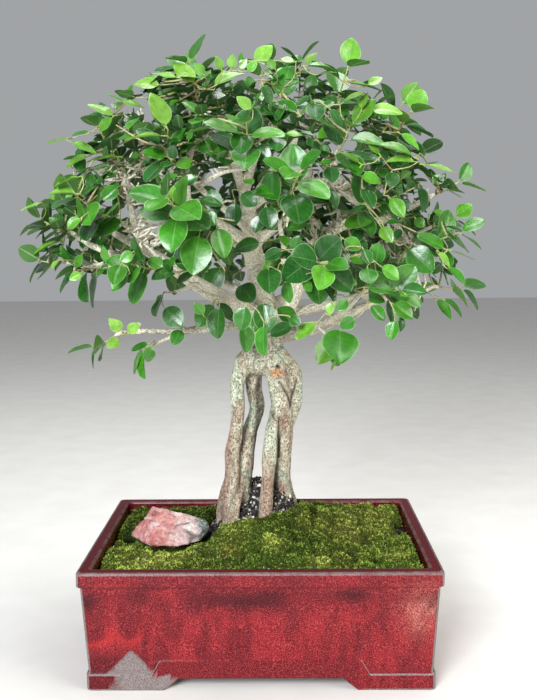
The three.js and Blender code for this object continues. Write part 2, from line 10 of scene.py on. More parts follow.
import bpy
import numpy as np
from mathutils import Matrix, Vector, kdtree


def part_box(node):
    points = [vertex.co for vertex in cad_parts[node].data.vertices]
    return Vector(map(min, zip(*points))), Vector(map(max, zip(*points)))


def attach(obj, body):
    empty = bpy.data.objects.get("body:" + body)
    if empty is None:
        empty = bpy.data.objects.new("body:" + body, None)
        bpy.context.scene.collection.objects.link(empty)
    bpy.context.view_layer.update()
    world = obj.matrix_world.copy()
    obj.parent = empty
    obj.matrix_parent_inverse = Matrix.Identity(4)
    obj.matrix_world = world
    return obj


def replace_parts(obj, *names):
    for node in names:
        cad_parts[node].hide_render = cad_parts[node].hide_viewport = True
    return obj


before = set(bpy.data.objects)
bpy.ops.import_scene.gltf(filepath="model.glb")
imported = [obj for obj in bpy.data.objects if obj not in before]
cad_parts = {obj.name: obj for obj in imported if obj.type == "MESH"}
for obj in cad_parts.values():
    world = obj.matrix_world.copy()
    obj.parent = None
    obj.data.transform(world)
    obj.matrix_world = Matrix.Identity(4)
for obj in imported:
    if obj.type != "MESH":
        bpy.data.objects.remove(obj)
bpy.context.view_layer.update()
MM = 0.001
METRE = 1000

# Camera
# The photograph was taken from just under a metre in front of the pot and a little above its rim, with a
# lens of about 45 mm, held almost level.
photo_size = (537, 700)
focal_pixels = 900
camera_at = np.array([21.1, -957.6, 436.3])
turned_left, tipped_down, rolled = (math.radians(angle) for angle in (0.74, 6.8, 0.48))


def camera_axes():
    """The picture's right and up, and the way it looks"""
    ahead = np.array([
        -math.sin(turned_left) * math.cos(tipped_down),
        math.cos(turned_left) * math.cos(tipped_down),
        -math.sin(tipped_down),
    ])
    level = np.array([math.cos(turned_left), math.sin(turned_left), 0.0])
    above = np.cross(level, ahead)
    right = math.cos(rolled) * level - math.sin(rolled) * above
    up = math.sin(rolled) * level + math.cos(rolled) * above
    return right, up, ahead


picture_right, picture_up, picture_ahead = camera_axes()
lens = bpy.data.cameras.new("lens")
lens.lens = lens.sensor_width * focal_pixels / max(photo_size)
lens.clip_start = 0.01
camera = bpy.data.objects.new("camera", lens)
turn = Matrix([list(axis) for axis in (picture_right, picture_up, -picture_ahead)]).transposed()
camera.matrix_world = Matrix.Translation(camera_at * MM) @ turn.to_4x4()
bpy.context.scene.collection.objects.link(camera)
bpy.context.scene.camera = camera
bpy.context.scene.view_settings.view_transform = "Standard"


# Floor and light
# A pale matt floor without an edge in view, under a large soft lamp from the front left, a weaker one from
# the right and the open pale room above.
def shade(text, alpha=1.0):
    """An sRGB hex colour as linear light"""
    parts = [int(text[i:i + 2], 16) / 255 for i in (1, 3, 5)]
    return [p / 12.92 if p < 0.04045 else ((p + 0.055) / 1.055) ** 2.4 for p in parts] + [alpha]


def add(tree, kind, settings=None, links=None):
    """Adds a node. Its settings are properties, sockets or colour stops. Its links come from sockets, or
    from nodes, which then give the first output that they have in use. Sockets with the same name go by
    number: a Mix node's factor is 0, and its two colours are 6 and 7"""
    node = tree.nodes.new("ShaderNode" + kind)
    for key, value in (settings or {}).items():
        if key == "stops":
            band = node.color_ramp.elements
            while len(band) < len(value):
                band.new(0.5)
            for stop, (place, colour) in zip(band, value):
                stop.position = place
                stop.color = shade(colour)
        elif isinstance(key, str) and hasattr(node, key):
            setattr(node, key, value)
        else:
            node.inputs[key].default_value = value
    for key, source in (links or {}).items():
        if isinstance(source, bpy.types.Node):
            source = next(output for output in source.outputs if output.enabled)
        tree.links.new(source, node.inputs[key])
    return node


def new_material(name):
    """An empty material, and the tree that its nodes go into"""
    material = bpy.data.materials.new(name)
    material.use_nodes = True
    material.node_tree.nodes.clear()
    return material, material.node_tree


def floor_material():
    """Matt painted board: pale and even, with a faint mottle so that it isn't a flat tone"""
    material, tree = new_material("matt_painted_board")
    where = add(tree, "TexCoord").outputs["Object"]
    mottle = add(tree, "TexNoise", {"Scale": METRE / 60, "Detail": 4.0}, {"Vector": where})
    tone = add(tree, "ValToRGB", {"stops": [(0.3, "#d8d6d1"), (0.7, "#dfddd9")]}, {0: mottle})
    board = add(tree, "BsdfPrincipled", {"Roughness": 0.85, "IOR": 1.45}, {"Base Color": tone})
    add(tree, "OutputMaterial", links={"Surface": board})
    return material


lamp_aim = 350


def soft_lamp(name, place, size, power, tint):
    """A square lamp that faces the middle of the tree"""
    lamp = bpy.data.lights.new(name, "AREA")
    lamp.size = size * MM
    lamp.energy = power
    lamp.color = shade(tint)[:3]
    holder = bpy.data.objects.new(name, lamp)
    there = Matrix.Translation(np.array(place) * MM)
    away = there.to_translation() - Matrix.Translation((0, 0, lamp_aim * MM)).to_translation()
    holder.matrix_world = there @ away.to_track_quat("Z", "Y").to_matrix().to_4x4()
    bpy.context.scene.collection.objects.link(holder)


floor_half = 6000
floor_mesh = bpy.data.meshes.new("floor")
floor_mesh.from_pydata(
    [(x * floor_half * MM, y * floor_half * MM, 0) for x, y in ((-1, -1), (1, -1), (1, 1), (-1, 1))],
    [], [(0, 1, 2, 3)],
)
floor_mesh.materials.append(floor_material())
floor = bpy.data.objects.new("floor", floor_mesh)
bpy.context.scene.collection.objects.link(floor)

soft_lamp("front_left_lamp", (-700, -1900, 1150), 800, 74, "#f6faff")
soft_lamp("right_lamp", (1500, -1000, 900), 1000, 22, "#fffaf2")
soft_lamp("top_lamp", (150, 150, 2000), 1000, 26, "#ffffff")

room = bpy.data.worlds.new("pale_room")
room.use_nodes = True
room.node_tree.nodes["Background"].inputs["Color"].default_value = shade("#e4e7ea")
room.node_tree.nodes["Background"].inputs["Strength"].default_value = 0.46
bpy.context.scene.world = room


# Pot
# One rectangle of stoneware, moulded with a lip, a plinth band and four L-shaped feet, and dipped in an
# oxblood glaze. The glaze left every sharp edge grey and ran down the left end in dark, red-edged lobes.
pot_half = np.array(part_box("pot")[1])[:2] / MM
pot_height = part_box("pot")[1].z / MM
pot_corner = 5
pot_floor = 20
lip_height = 15
rim_width = 13
lip_overhang = 3
wall_taper = 5.5
foot_standing_out = 2.2
foot_thickness = 17
cavity_lean = 7
foot_top, arch_top, band_top = 17, 12, 31
foot_share = 0.44
# How far past a foot's end the arch has sloped up, and where the plinth band begins and ends its step
arch_slope, band_start, band_end = 15, 3, 11
drain_radius, drain_x, drill_sides = 11, 75, 40
wall_step = 3.5
# How much each corner of the section is rounded, and how many steps lead up to it
section_radii = [0, 0.6, 1.6, 1.3, 0.9, 1.4, 1.8, 2.6, 2.4, 0]
section_steps = [1, 4, 5, 1, 24, 1, 5, 5, 14]
# Dark lobes of glaze as place along the face, half width, height of the round end's middle, strength
glaze_lobes = [(-166, 16, 58, 0.6), (-131, 12, 61, 0.6), (-22, 17, 80, 0.2), (96, 15, 84, 0.2)]
# How bare the glaze left each of the section's corners, counted from under the floor
corner_bare = [0, 0, 0.7, 0.95, 0, 0, 0.15, 0.55, 0.45]
# Each colour runs from the speckle's dark end to its bright one
glaze_colours = {
    "red": [(0.3, "#42080f"), (0.45, "#6e141c"), (0.56, "#8a2026"), (0.72, "#b44f4d")],
    "dusk": [(0.34, "#22040a"), (0.5, "#38080f"), (0.6, "#50131b"), (0.74, "#6c3038")],
    "ember": [(0.35, "#8a1219"), (0.65, "#bc3430")],
    "salmon": [(0.4, "#8c2a2c"), (0.6, "#dc9684")],
    "clay": [(0.35, "#564b49"), (0.65, "#8a7f7d")],
}
side_along = np.array([(1, 0), (0, 1), (-1, 0), (0, -1)])
side_out = np.array([(0, -1), (1, 0), (0, 1), (-1, 0)])


def lattice(cells, seed):
    """A repeatable number from 0 to 1 for each whole-numbered cell"""
    mixed = cells[..., 0] * 73856093 ^ cells[..., 1] * 19349663 ^ cells[..., 2] * 83492791 ^ seed * 2654435
    mixed = (mixed ^ (mixed >> 13)) * 1274126177
    return ((mixed ^ (mixed >> 16)) & 0xFFFFFF) / 0xFFFFFF


def lumps(points, size, seed=0):
    """Smooth bumps from -1 to 1, about `size` millimetres across"""
    scaled = np.asarray(points, float) / size + 512.5
    cell = np.floor(scaled).astype(np.int64)
    part = scaled - cell
    part = part * part * (3 - 2 * part)
    total = 0
    for corner in itertools.product((0, 1), repeat=3):
        weight = np.prod(np.where(corner, part, 1 - part), axis=-1)
        total = total + weight * lattice(cell + np.array(corner), seed)
    return 2 * total - 1


def ramp(value, low, high):
    """0 below low, 1 above high, and a smooth rise between them"""
    part = np.clip((value - low) / (high - low), 0, 1)
    return part * part * (3 - 2 * part)


def grid_faces(rows, columns, wrap=False, first=0):
    """Four-sided faces over a grid of points, whose last column may join its first"""
    row = np.arange(rows - 1)[:, None] * columns
    column = np.arange(columns if wrap else columns - 1)[None, :]
    after = (column + 1) % columns
    corners = [row + column, row + after, row + columns + after, row + columns + column]
    return np.stack([c.ravel() for c in corners], axis=1) + first


def closed_rings(rows, columns, first=0):
    """Faces over rings of points, with the first and the last ring closed"""
    last = first + (rows - 1) * columns
    faces = grid_faces(rows, columns, wrap=True, first=first).tolist()
    return faces + [list(range(first, first + columns))[::-1], list(range(last, last + columns))]


def make_piece(name, points, faces, materials, marks=None, face_material=None, smooth=True):
    """A mesh object in metres that rides on the one body, with named numbers on its points"""
    mesh = bpy.data.meshes.new(name)
    mesh.from_pydata((np.asarray(points, float) * MM).tolist(), [], [list(map(int, f)) for f in faces])
    mesh.validate()
    for material in materials:
        mesh.materials.append(material)
    if face_material is not None:
        mesh.polygons.foreach_set("material_index", np.asarray(face_material, np.int32))
    for mark, values in (marks or {}).items():
        mesh.attributes.new(mark, "FLOAT", "POINT").data.foreach_set("value", np.asarray(values, np.float32))
    mesh.polygons.foreach_set("use_smooth", np.full(len(mesh.polygons), smooth))
    mesh.update()
    made = bpy.data.objects.new(name, mesh)
    bpy.context.scene.collection.objects.link(made)
    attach(made, "root")
    return made


def settle(thing):
    """Keeps what the piece's modifiers make of it, and removes them"""
    graph = bpy.context.evaluated_depsgraph_get()
    made = bpy.data.meshes.new_from_object(thing.evaluated_get(graph))
    thing.modifiers.clear()
    thing.data = made


def steps_round_pot():
    """Each step round the pot: its side, its share of that side's half, and its turn into the corner"""
    steps = []
    for side in range(4):
        half = pot_half[side % 2] - lip_overhang - wall_taper + foot_standing_out - pot_corner
        foot_end = (half + pot_corner) * (1 - foot_share)
        marks = [foot_end - arch_slope, foot_end, foot_end + band_start, foot_end + band_end]
        marks = sorted([-m for m in marks] + marks)
        even = [s for s in np.arange(-half, half, wall_step) if min(abs(s - m) for m in marks) > 1.5]
        steps += [(side, stop / half, 0.0) for stop in sorted(even + marks + [half])]
        steps += [(side, 1.0, math.radians(angle)) for angle in range(15, 90, 15)]
    return steps


def pot_ring(steps, offsets, heights):
    """Points round the pot, each so far outside the lip's face and so high"""
    points = []
    for (side, share, turned), offset, height in zip(steps, offsets, heights):
        along, out = side_along[side], side_out[side]
        near = pot_half[(side + 1) % 2] + offset
        far = pot_half[side % 2] + offset
        if turned == 0:
            flat = along * share * (far - pot_corner) + out * near
        else:
            flat = along * (far - pot_corner) + out * (near - pot_corner)
            flat = flat + pot_corner * (out * math.cos(turned) + along * math.sin(turned))
        points.append((*flat, height))
    return np.array(points)


def even_parts(length, count):
    """Even steps along a stretch, the first and last drawn to within a millimetre of its ends"""
    parts = np.arange(1, count) / count
    if count > 3:
        parts[0] = min(parts[0], 0.8 / length)
        parts[-1] = max(parts[-1], 1 - 0.8 / length)
    return parts


def eased(corners, radii, splits):
    """A section with rounded corners, always of the same number of points, and each point's corner or 0"""
    corners = np.array(corners, float)
    line = [corners[0]]
    bends = [0]
    for i in range(1, len(corners) - 1):
        before, here, after = corners[i - 1:i + 2]
        start, end = [
            here + (other - here) * min(0.45, radii[i] / max(np.linalg.norm(other - here), 1e-6))
            for other in (before, after)
        ]
        last = line[-1]
        parts = even_parts(np.linalg.norm(start - last), splits[i - 1])
        line += [last + (start - last) * part for part in parts]
        line += [(1 - t) ** 2 * start + 2 * t * (1 - t) * here + t ** 2 * end for t in (0, 0.33, 0.67, 1)]
        bends += [0] * len(parts) + [i] * 4
    last = line[-1]
    parts = even_parts(np.linalg.norm(corners[-1] - last), splits[-1])
    line += [last + (corners[-1] - last) * part for part in parts]
    return np.array(line + [corners[-1]]), bends + [0] * (len(parts) + 1)


def pot_section(side, share, turned):
    """The section through the wall, from under the floor round the outside and down to the floor inside"""
    half = pot_half[side % 2] - lip_overhang - wall_taper + foot_standing_out
    reach = half if turned else abs(share) * (half - pot_corner)
    foot_end = half * (1 - foot_share)
    lower = arch_top * np.clip((foot_end - reach) / arch_slope, 0, 1)
    raised = np.clip((foot_end + band_end - reach) / (band_end - band_start), 0, 1)
    upper = foot_top + (band_top - foot_top) * raised
    plinth = -lip_overhang - wall_taper + foot_standing_out
    lip_bottom = pot_height - lip_height
    wall_low = -lip_overhang - wall_taper * (1 - (upper - arch_top) / (lip_bottom - arch_top))
    corners = [
        (plinth - foot_thickness, arch_top), (plinth - foot_thickness, lower), (plinth, lower),
        (plinth, upper), (wall_low, upper), (-lip_overhang, lip_bottom), (0, lip_bottom), (0, pot_height),
        (-rim_width, pot_height), (-rim_width - cavity_lean, pot_floor),
    ]
    return eased(corners, section_radii, section_steps)


def glaze_marks(points, bends, upright):
    """Where the glaze ran dark, glows red, broke to bare clay or went pale, and the painted shade inside"""
    x, y, z = points.T
    long_side = np.abs(y) / pot_half[1] > np.abs(x) / pot_half[0]
    along = np.where(long_side, x * np.sign(-y), y * np.sign(x))
    half = np.where(long_side, pot_half[0], pot_half[1])
    top = z.max()
    wander = 4 * lumps(points, 22, 3)
    dark = ramp(z + 9 * lumps(points, 26, 4), 70, 92) * ramp(-z - 3 * lumps(points, 30, 5), -112, -100)
    dark = dark * np.clip(0.5 + 0.75 * lumps(points, 26, 6), 0, 1)
    glow = np.zeros(len(points))
    for place, width, middle, strength in glaze_lobes:
        across = (along + wander - place) / width
        below = np.maximum(middle - z, 0) / 11
        away = np.hypot(across, below)
        inside = (1 - ramp(away, 0.55, 1.0)) * ramp(-z, -104, -88) * strength
        edge = strength * np.exp(-((away - 1.08) / 0.26) ** 2)
        dark = np.maximum(dark, 0.85 * inside)
        glow = np.maximum(glow, edge * ramp(-z, -(middle + 14), -(middle - 6)))
    # The plinth band kept its glaze, and is dark
    bare = np.array(corner_bare)[bends]
    band = 1 - ramp(np.abs(along) / half, 0.53, 0.57)
    bare = np.where((bends == 2) | (bends == 3), bare * (1 - band), bare)
    bare = np.maximum(bare, upright)
    dark = np.maximum(dark, 0.45 * band * (z < 30.5))
    # The lip is clouded, and dark on top; the inside wall is darkened with painted shade
    cloud = 0.42 + 0.3 * lumps(points, 24, 8)
    dark = np.maximum(dark, cloud * ramp(z, top - lip_height - 2, top - lip_height + 2))
    dark = np.maximum(dark, 0.75 * ramp(z, top - 2, top - 0.5))
    inside = (np.abs(x) < pot_half[0] - rim_width + 1) & (np.abs(y) < pot_half[1] - rim_width + 1)
    dark = np.maximum(dark, 0.8 * inside * (z < top - 2))
    # The glaze drew back from a patch on the front's left foot and a peak above it, which is dusky all round
    rough = 5 * lumps(points, 9, 9)
    peak = ramp(31 - np.abs(along + 128 + wander / 2) - np.abs(z - 17), 0, 10) * (along < -106)
    foot_patch = ramp(44 - np.abs(along + 112 + rough - 0.4 * (z - 8)), 0, 20) * (1 - ramp(z, 15, 19))
    front_left = (y < 0) * (x < 0)
    bare = np.maximum(bare, 0.75 * np.maximum(peak * (z > 16), foot_patch) * front_left)
    dark = np.maximum(dark, 0.7 * (1 - ramp(z, 30, 46)) * ramp(-along, 98, 116) * front_left)
    # A pale bloom near the right end, and dust on the rim's flat top
    pale = 0.5 * np.exp(-(((along - 160) / 20) ** 2 + ((z - 82) / 22) ** 2))
    pale = pale * (0.8 + 0.6 * lumps(points, 7, 7))
    dusty = ramp(z, top - 1, top - 0.4)
    return {"dark": dark, "glow": glow, "bare": bare, "pale": pale, "dusty": dusty}


def glaze_material():
    """Oxblood glaze: a glassy skin over stoneware, fired and left to run, so it shows fine dark and red
    speckle, a darker upper wall, and bare grey clay where it drew back from the edges"""
    material, tree = new_material("oxblood_glazed_stoneware")
    where = add(tree, "TexCoord").outputs["Object"]
    streaks = add(tree, "Mapping", {"Scale": (1, 1, 0.35)}, {"Vector": where})
    # The real speckle is about half a millimetre and is drawn at one, to show
    speckle = add(tree, "TexNoise", {
        "Scale": METRE / 1.1, "Detail": 2.0, "Roughness": 0.7,
    }, {"Vector": where})
    mottle = add(tree, "TexNoise", {"Scale": METRE / 14, "Detail": 3.0}, {"Vector": streaks})
    marks = {name: add(tree, "Attribute", {"attribute_name": name}).outputs["Fac"]
             for name in ("dark", "glow", "bare", "pale", "dusty")}
    colour, dusk, ember, salmon, clay = (
        add(tree, "ValToRGB", {"stops": stops}, {0: speckle}) for stops in glaze_colours.values()
    )
    clouds = add(tree, "MapRange", {"From Min": 0.42, "From Max": 0.62, "To Max": 0.5}, {0: mottle})
    clouded = add(tree, "Math", {"operation": "MAXIMUM"}, {0: marks["dark"], 1: clouds})
    for share, other in ((clouded, dusk), (marks["glow"], ember), (marks["pale"], salmon)):
        colour = add(tree, "Mix", {"data_type": "RGBA"}, {0: share, 6: colour, 7: other})
    ragged = add(tree, "Math", {"operation": "MULTIPLY_ADD", 1: 0.5, 2: -0.25}, {0: mottle})
    bared = add(tree, "Math", {"operation": "ADD"}, {0: marks["bare"], 1: ragged})
    skin = add(tree, "MapRange", {"From Min": 0.35, "From Max": 0.7}, {0: bared})
    colour = add(tree, "Mix", {"data_type": "RGBA"}, {0: skin, 6: colour, 7: clay})
    gloss = add(tree, "MapRange", {"To Min": 0.2, "To Max": 0.5}, {0: skin})
    pits = add(tree, "Bump", {"Strength": 0.12, "Distance": 0.3 * MM}, {"Height": speckle})
    # The pits scatter what a smooth skin would mirror, and dust dulls the rim's flat top
    mirror = add(tree, "MapRange", {"To Min": 0.22, "To Max": 0.04}, {0: marks["dusty"]})
    glaze = add(tree, "BsdfPrincipled", {"IOR": 1.52}, {
        "Base Color": colour, "Roughness": gloss, "Normal": pits, "Specular IOR Level": mirror,
    })
    add(tree, "OutputMaterial", links={"Surface": glaze})
    return material


def build_pot():
    """The wall as one section carried round the pot, closed by its floor, with the drainage holes cut"""
    steps = steps_round_pot()
    sections = np.array([pot_section(*step)[0] for step in steps])
    bends = np.array(pot_section(*steps[0])[1])
    count = len(bends)
    rings = [pot_ring(steps, sections[:, k, 0], sections[:, k, 1]) for k in range(count)]
    points = np.concatenate(rings)
    z = points[:, 2]
    outside = ramp(z, 2, 12) * (1 - ramp(z, pot_height - 3, pot_height))
    points[:, :2] *= (1 + 0.0018 * lumps(points, 55, 1) * outside)[:, None]
    # Glaze broke on the upright corners too, from the foot's edge up to the top of the lip
    order = np.arange(count)
    outer = (order >= np.argmax(bends == 2)) & (order <= np.argmax(bends == 7) + 3)
    corner_turn = np.array([step[2] for step in steps])
    upright = np.outer(outer, np.exp(-((np.degrees(corner_turn) - 45) / 21) ** 2) * (corner_turn > 0))
    marks = glaze_marks(points, np.repeat(bends, len(steps)), upright.ravel())
    faces = closed_rings(count, len(steps))
    pot = make_piece("glazed_pot", points, faces, [glaze_material()], marks)
    for side in (-1, 1):
        drill_mesh = bpy.data.meshes.new("drill")
        turns = np.linspace(0, 2 * math.pi, drill_sides, endpoint=False)
        ring = [(side * drain_x + drain_radius * math.cos(t), drain_radius * math.sin(t)) for t in turns]
        corners = [(x * MM, y * MM, z * MM) for z in (0, 2 * pot_floor) for x, y in ring]
        drill_mesh.from_pydata(corners, [], closed_rings(2, drill_sides))
        drill = bpy.data.objects.new("drill", drill_mesh)
        bpy.context.scene.collection.objects.link(drill)
        cut = pot.modifiers.new("drain", "BOOLEAN")
        cut.object = drill
        settle(pot)
        bpy.data.objects.remove(drill)
    return pot


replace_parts(build_pot(), "pot")


# Drain meshes
# A square of black polypropylene grid lies over each drainage hole, so that water leaves and soil stays. The
# plastic is moulded, with a fine satin grain.
def plastic_material():
    """Black polypropylene, moulded with a fine grain that keeps its gloss low"""
    material, tree = new_material("moulded_black_polypropylene")
    where = add(tree, "TexCoord").outputs["Object"]
    grain = add(tree, "TexNoise", {"Scale": METRE / 0.6, "Detail": 3.0}, {"Vector": where})
    tone = add(tree, "ValToRGB", {"stops": [(0.3, "#161616"), (0.7, "#262524")]}, {0: grain})
    dents = add(tree, "Bump", {"Strength": 0.3, "Distance": 0.1 * MM}, {"Height": grain})
    plastic = add(tree, "BsdfPrincipled", {"Roughness": 0.5, "IOR": 1.49}, {
        "Base Color": tone, "Normal": dents,
    })
    add(tree, "OutputMaterial", links={"Surface": plastic})
    return material


black_plastic = plastic_material()
for name in ("drain_mesh_left", "drain_mesh_right"):
    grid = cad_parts[name]
    grid.data.materials.clear()
    grid.data.materials.append(black_plastic)


# Soil
# Dark bonsai mix, of bark crumbs, black grit and a little pale pumice. It fills the pot and stands in a
# heap between the stems, where the moss leaves it bare.
soil_level = 104
# Rises of the ground as middle x and y, half width and height
soil_mounds = [(3, 20, 62, 41), (-6, 30, 24, 27), (80, 100, 90, 4), (23, 15, 17, 20), (-19, 20, 14, 7)]
# Where the moss leaves the heap bare, as middle x and y, half width and half depth
bare_soil = (-8, 27, 47, 42)
# Room left to the pot's wall and above its floor, where the drain meshes lie
wall_gap, floor_gap = 0.3, 2.2
soil_rows, soil_columns = 76, 104
grit_count = 1700
draw = np.random.default_rng(7)


def bump(x, y, place):
    """A round rise of the ground"""
    middle_x, middle_y, width, height = place
    return height * np.exp(-((x - middle_x) ** 2 + (y - middle_y) ** 2) / width ** 2)


def ground(x, y):
    """Height of the soil's surface"""
    return soil_level + sum(bump(x, y, mound) for mound in soil_mounds)


def bare_reach(x, y):
    """How far out from the bare heap's middle places lie, with 1 at its edge"""
    return np.hypot((x - bare_soil[0]) / bare_soil[2], (y - bare_soil[1]) / bare_soil[3])


def cavity_half(z, margin):
    """Half length and depth of the space inside the pot at a height, less a margin"""
    return pot_half - rim_width - cavity_lean * (pot_height - z) / (pot_height - pot_floor) - margin


def inside_corner(x, y, half_x, half_y):
    """Points moved in to the pot's rounded inner corners"""
    over_x = np.abs(x) - (half_x - pot_corner)
    over_y = np.abs(y) - (half_y - pot_corner)
    reach = np.hypot(over_x, over_y)
    beyond = (over_x > 0) & (over_y > 0) & (reach > pot_corner)
    keep = np.where(beyond, pot_corner / np.maximum(reach, 1e-6), 1)
    new_x = np.sign(x) * (half_x - pot_corner + over_x * keep)
    new_y = np.sign(y) * (half_y - pot_corner + over_y * keep)
    moved = keep < 1
    return np.where(moved, new_x, x), np.where(moved, new_y, y)


def closed_slab(top, bottom):
    """Points and faces of a slab between two grids of points"""
    rows, columns = top.shape[:2]
    count = rows * columns
    index = np.arange(count).reshape(rows, columns)
    rim = np.concatenate([index[0, :-1], index[:-1, -1], index[-1, :0:-1], index[:0:-1, 0]])
    after = np.roll(rim, -1)
    faces = [grid_faces(rows, columns), grid_faces(rows, columns)[:, ::-1] + count]
    faces.append(np.stack([after, rim, rim + count, after + count], axis=1))
    return np.concatenate([top.reshape(-1, 3), bottom.reshape(-1, 3)]), np.concatenate(faces)


def soil_material():
    """Damp bonsai mix: dark bark and black grit with a few pale grains, almost without gloss"""
    material, tree = new_material("damp_bark_and_grit")
    where = add(tree, "TexCoord").outputs["Object"]
    grains = add(tree, "TexVoronoi", {"Scale": METRE / 2.4, "Randomness": 1.0}, {"Vector": where})
    fine = add(tree, "TexNoise", {"Scale": METRE / 1.2, "Detail": 3.0}, {"Vector": where})
    pick = add(tree, "SeparateColor", {}, {0: grains.outputs["Color"]})
    tone = add(tree, "ValToRGB", {"stops": [
        (0.0, "#0d0b0a"), (0.5, "#1a1613"), (0.78, "#2e2721"), (0.9, "#57504a"), (1.0, "#a39b90"),
    ]}, {0: pick})
    rough = add(tree, "Mix", {"data_type": "RGBA", "blend_type": "MULTIPLY", 0: 0.5}, {
        6: tone, 7: fine,
    })
    height = add(tree, "Bump", {"Strength": 0.9, "Distance": 1.2 * MM, "invert": True}, {
        "Height": grains.outputs["Distance"],
    })
    soil = add(tree, "BsdfPrincipled", {"Roughness": 0.75, "IOR": 1.45}, {
        "Base Color": rough, "Normal": height,
    })
    add(tree, "OutputMaterial", links={"Surface": soil})
    return material


def closer_inside(count):
    """Steps from -1 to 1 that lie closer together near the middle"""
    even = np.linspace(-1, 1, count)
    return np.sign(even) * np.abs(even) ** 1.25


def build_soil():
    """The mix as one body, its surface broken into crumbs"""
    share_x, share_y = np.meshgrid(closer_inside(soil_columns), closer_inside(soil_rows))
    half_x, half_y = cavity_half(soil_level, wall_gap)
    x, y = inside_corner(share_x * half_x, share_y * half_y, half_x, half_y)
    z = ground(x, y)
    flat = np.stack([x, y, z], axis=-1)
    bare = 1 - ramp(bare_reach(x, y), 1.0, 1.25)
    z = z + bare * (1.6 * lumps(flat, 5, 11) + 1.0 * lumps(flat, 2.4, 12)) - (1 - bare) * 1.0
    floor_x, floor_y = cavity_half(pot_floor, wall_gap)
    bottom = np.full_like(x, pot_floor + floor_gap)
    under = np.stack([x * floor_x / half_x, y * floor_y / half_y, bottom], axis=-1)
    points, faces = closed_slab(np.stack([x, y, z], axis=-1), under)
    return make_piece("soil_fill", points, faces, [soil_material()])


def grain_material():
    """Loose crumbs: black volcanic grit and bark, with some grey and white pumice"""
    material, tree = new_material("volcanic_grit_and_pumice")
    tone = add(tree, "Attribute", {"attribute_name": "tone"}).outputs["Fac"]
    where = add(tree, "TexCoord").outputs["Object"]
    fine = add(tree, "TexNoise", {"Scale": METRE / 0.9, "Detail": 3.0}, {"Vector": where})
    colour = add(tree, "ValToRGB", {"stops": [
        (0.0, "#0b0a0a"), (0.55, "#1c1917"), (0.7, "#3d342c"),
        (0.8, "#6d665f"), (0.93, "#b9b2a8"), (1.0, "#e8e4dc"),
    ]}, {0: tone})
    worn = add(tree, "Mix", {"data_type": "RGBA", "blend_type": "OVERLAY", 0: 0.5}, {
        6: colour, 7: fine,
    })
    pits = add(tree, "Bump", {"Strength": 0.6, "Distance": 0.3 * MM}, {"Height": fine})
    grit = add(tree, "BsdfPrincipled", {"Roughness": 0.5, "IOR": 1.5}, {
        "Base Color": worn, "Normal": pits,
    })
    add(tree, "OutputMaterial", links={"Surface": grit})
    return material


def ball(rows, columns):
    """Points and faces of a coarse ball of radius 1"""
    points = [(0, 0, 1)]
    for i in range(1, rows):
        tilt = math.pi * i / rows
        level, height = math.sin(tilt), math.cos(tilt)
        for k in range(columns):
            turned = 2 * math.pi * (k + 0.5 * (i % 2)) / columns
            points.append((level * math.cos(turned), level * math.sin(turned), height))
    points.append((0, 0, -1))
    last = len(points) - 1
    faces = [(0, 1 + k, 1 + (k + 1) % columns) for k in range(columns)]
    faces += [tuple(face) for face in grid_faces(rows - 1, columns, wrap=True, first=1)[:, ::-1].tolist()]
    start = last - columns
    faces += [(last, start + (k + 1) % columns, start + k) for k in range(columns)]
    return np.array(points, float), faces


def repeated(shape, faces, count):
    """The faces of `count` copies of a shape with so many points"""
    return [tuple(corner + i * shape for corner in face) for i in range(count) for face in faces]


def moved_on(faces, by):
    """The same faces for points that come so much later in the list"""
    return [[corner + by for corner in face] for face in faces]


def unit(way):
    """The same direction or directions with a length of 1"""
    return way / np.linalg.norm(way, axis=-1, keepdims=True)


def random_turns(count):
    """A random rotation for each of so many copies"""
    w, x, y, z = unit(draw.normal(size=(count, 4))).T
    return np.stack([
        1 - 2 * (y * y + z * z), 2 * (x * y - w * z), 2 * (x * z + w * y),
        2 * (x * y + w * z), 1 - 2 * (x * x + z * z), 2 * (y * z - w * x),
        2 * (x * z - w * y), 2 * (y * z + w * x), 1 - 2 * (x * x + y * y),
    ], axis=1).reshape(-1, 3, 3)


def crumbs(middle, size, stretch, dent=0):
    """Points and faces of coarse grains, each stretched, dented and turned at random"""
    shape, faces = ball(3, 5)
    grains = shape * (draw.uniform(*stretch, (len(size), 1, 3)) * size[:, None, None])
    if dent:
        grains = grains * (1 + dent * draw.normal(size=(len(size), len(shape), 1)))
    copies = np.einsum("nij,nkj->nki", random_turns(len(size)), grains) + middle[:, None]
    return copies, repeated(len(shape), faces, len(size))


def build_grit():
    """Loose crumbs bedded in the bare soil, from one to four millimetres across"""
    turned = draw.uniform(0, 2 * math.pi, grit_count)
    out = np.sqrt(draw.uniform(0, 1.15, grit_count))
    x = bare_soil[0] + bare_soil[2] * out * np.cos(turned)
    y = bare_soil[1] + bare_soil[3] * out * np.sin(turned)
    size = draw.uniform(0.6, 1.5, grit_count) ** 1.5 + 0.25
    height = ground(x, y) + 0.3 * size + draw.uniform(-0.6, 1.2, grit_count)
    grains, faces = crumbs(np.stack([x, y, height], axis=1), size, (0.65, 1.25), dent=0.28)
    tone = np.repeat(draw.uniform(0, 1, grit_count) ** 0.72, grains.shape[1])
    return make_piece("loose_grit", grains.reshape(-1, 3), faces, [grain_material()],
                      {"tone": tone}, smooth=False)


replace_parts(build_soil(), "soil")
build_grit()


# Moss
# Four cushions of living moss, pressed on to the soil round the bare heap. Each is a springy mat of short
# leafy shoots: bright in front, yellow where it is young, olive to the right and dark behind.
moss_height = 9
moss_rows, moss_columns = 40, 44  # out to the wall, and in each radian round the heap
shoots_per_square, blades_per_shoot = 0.25, 3
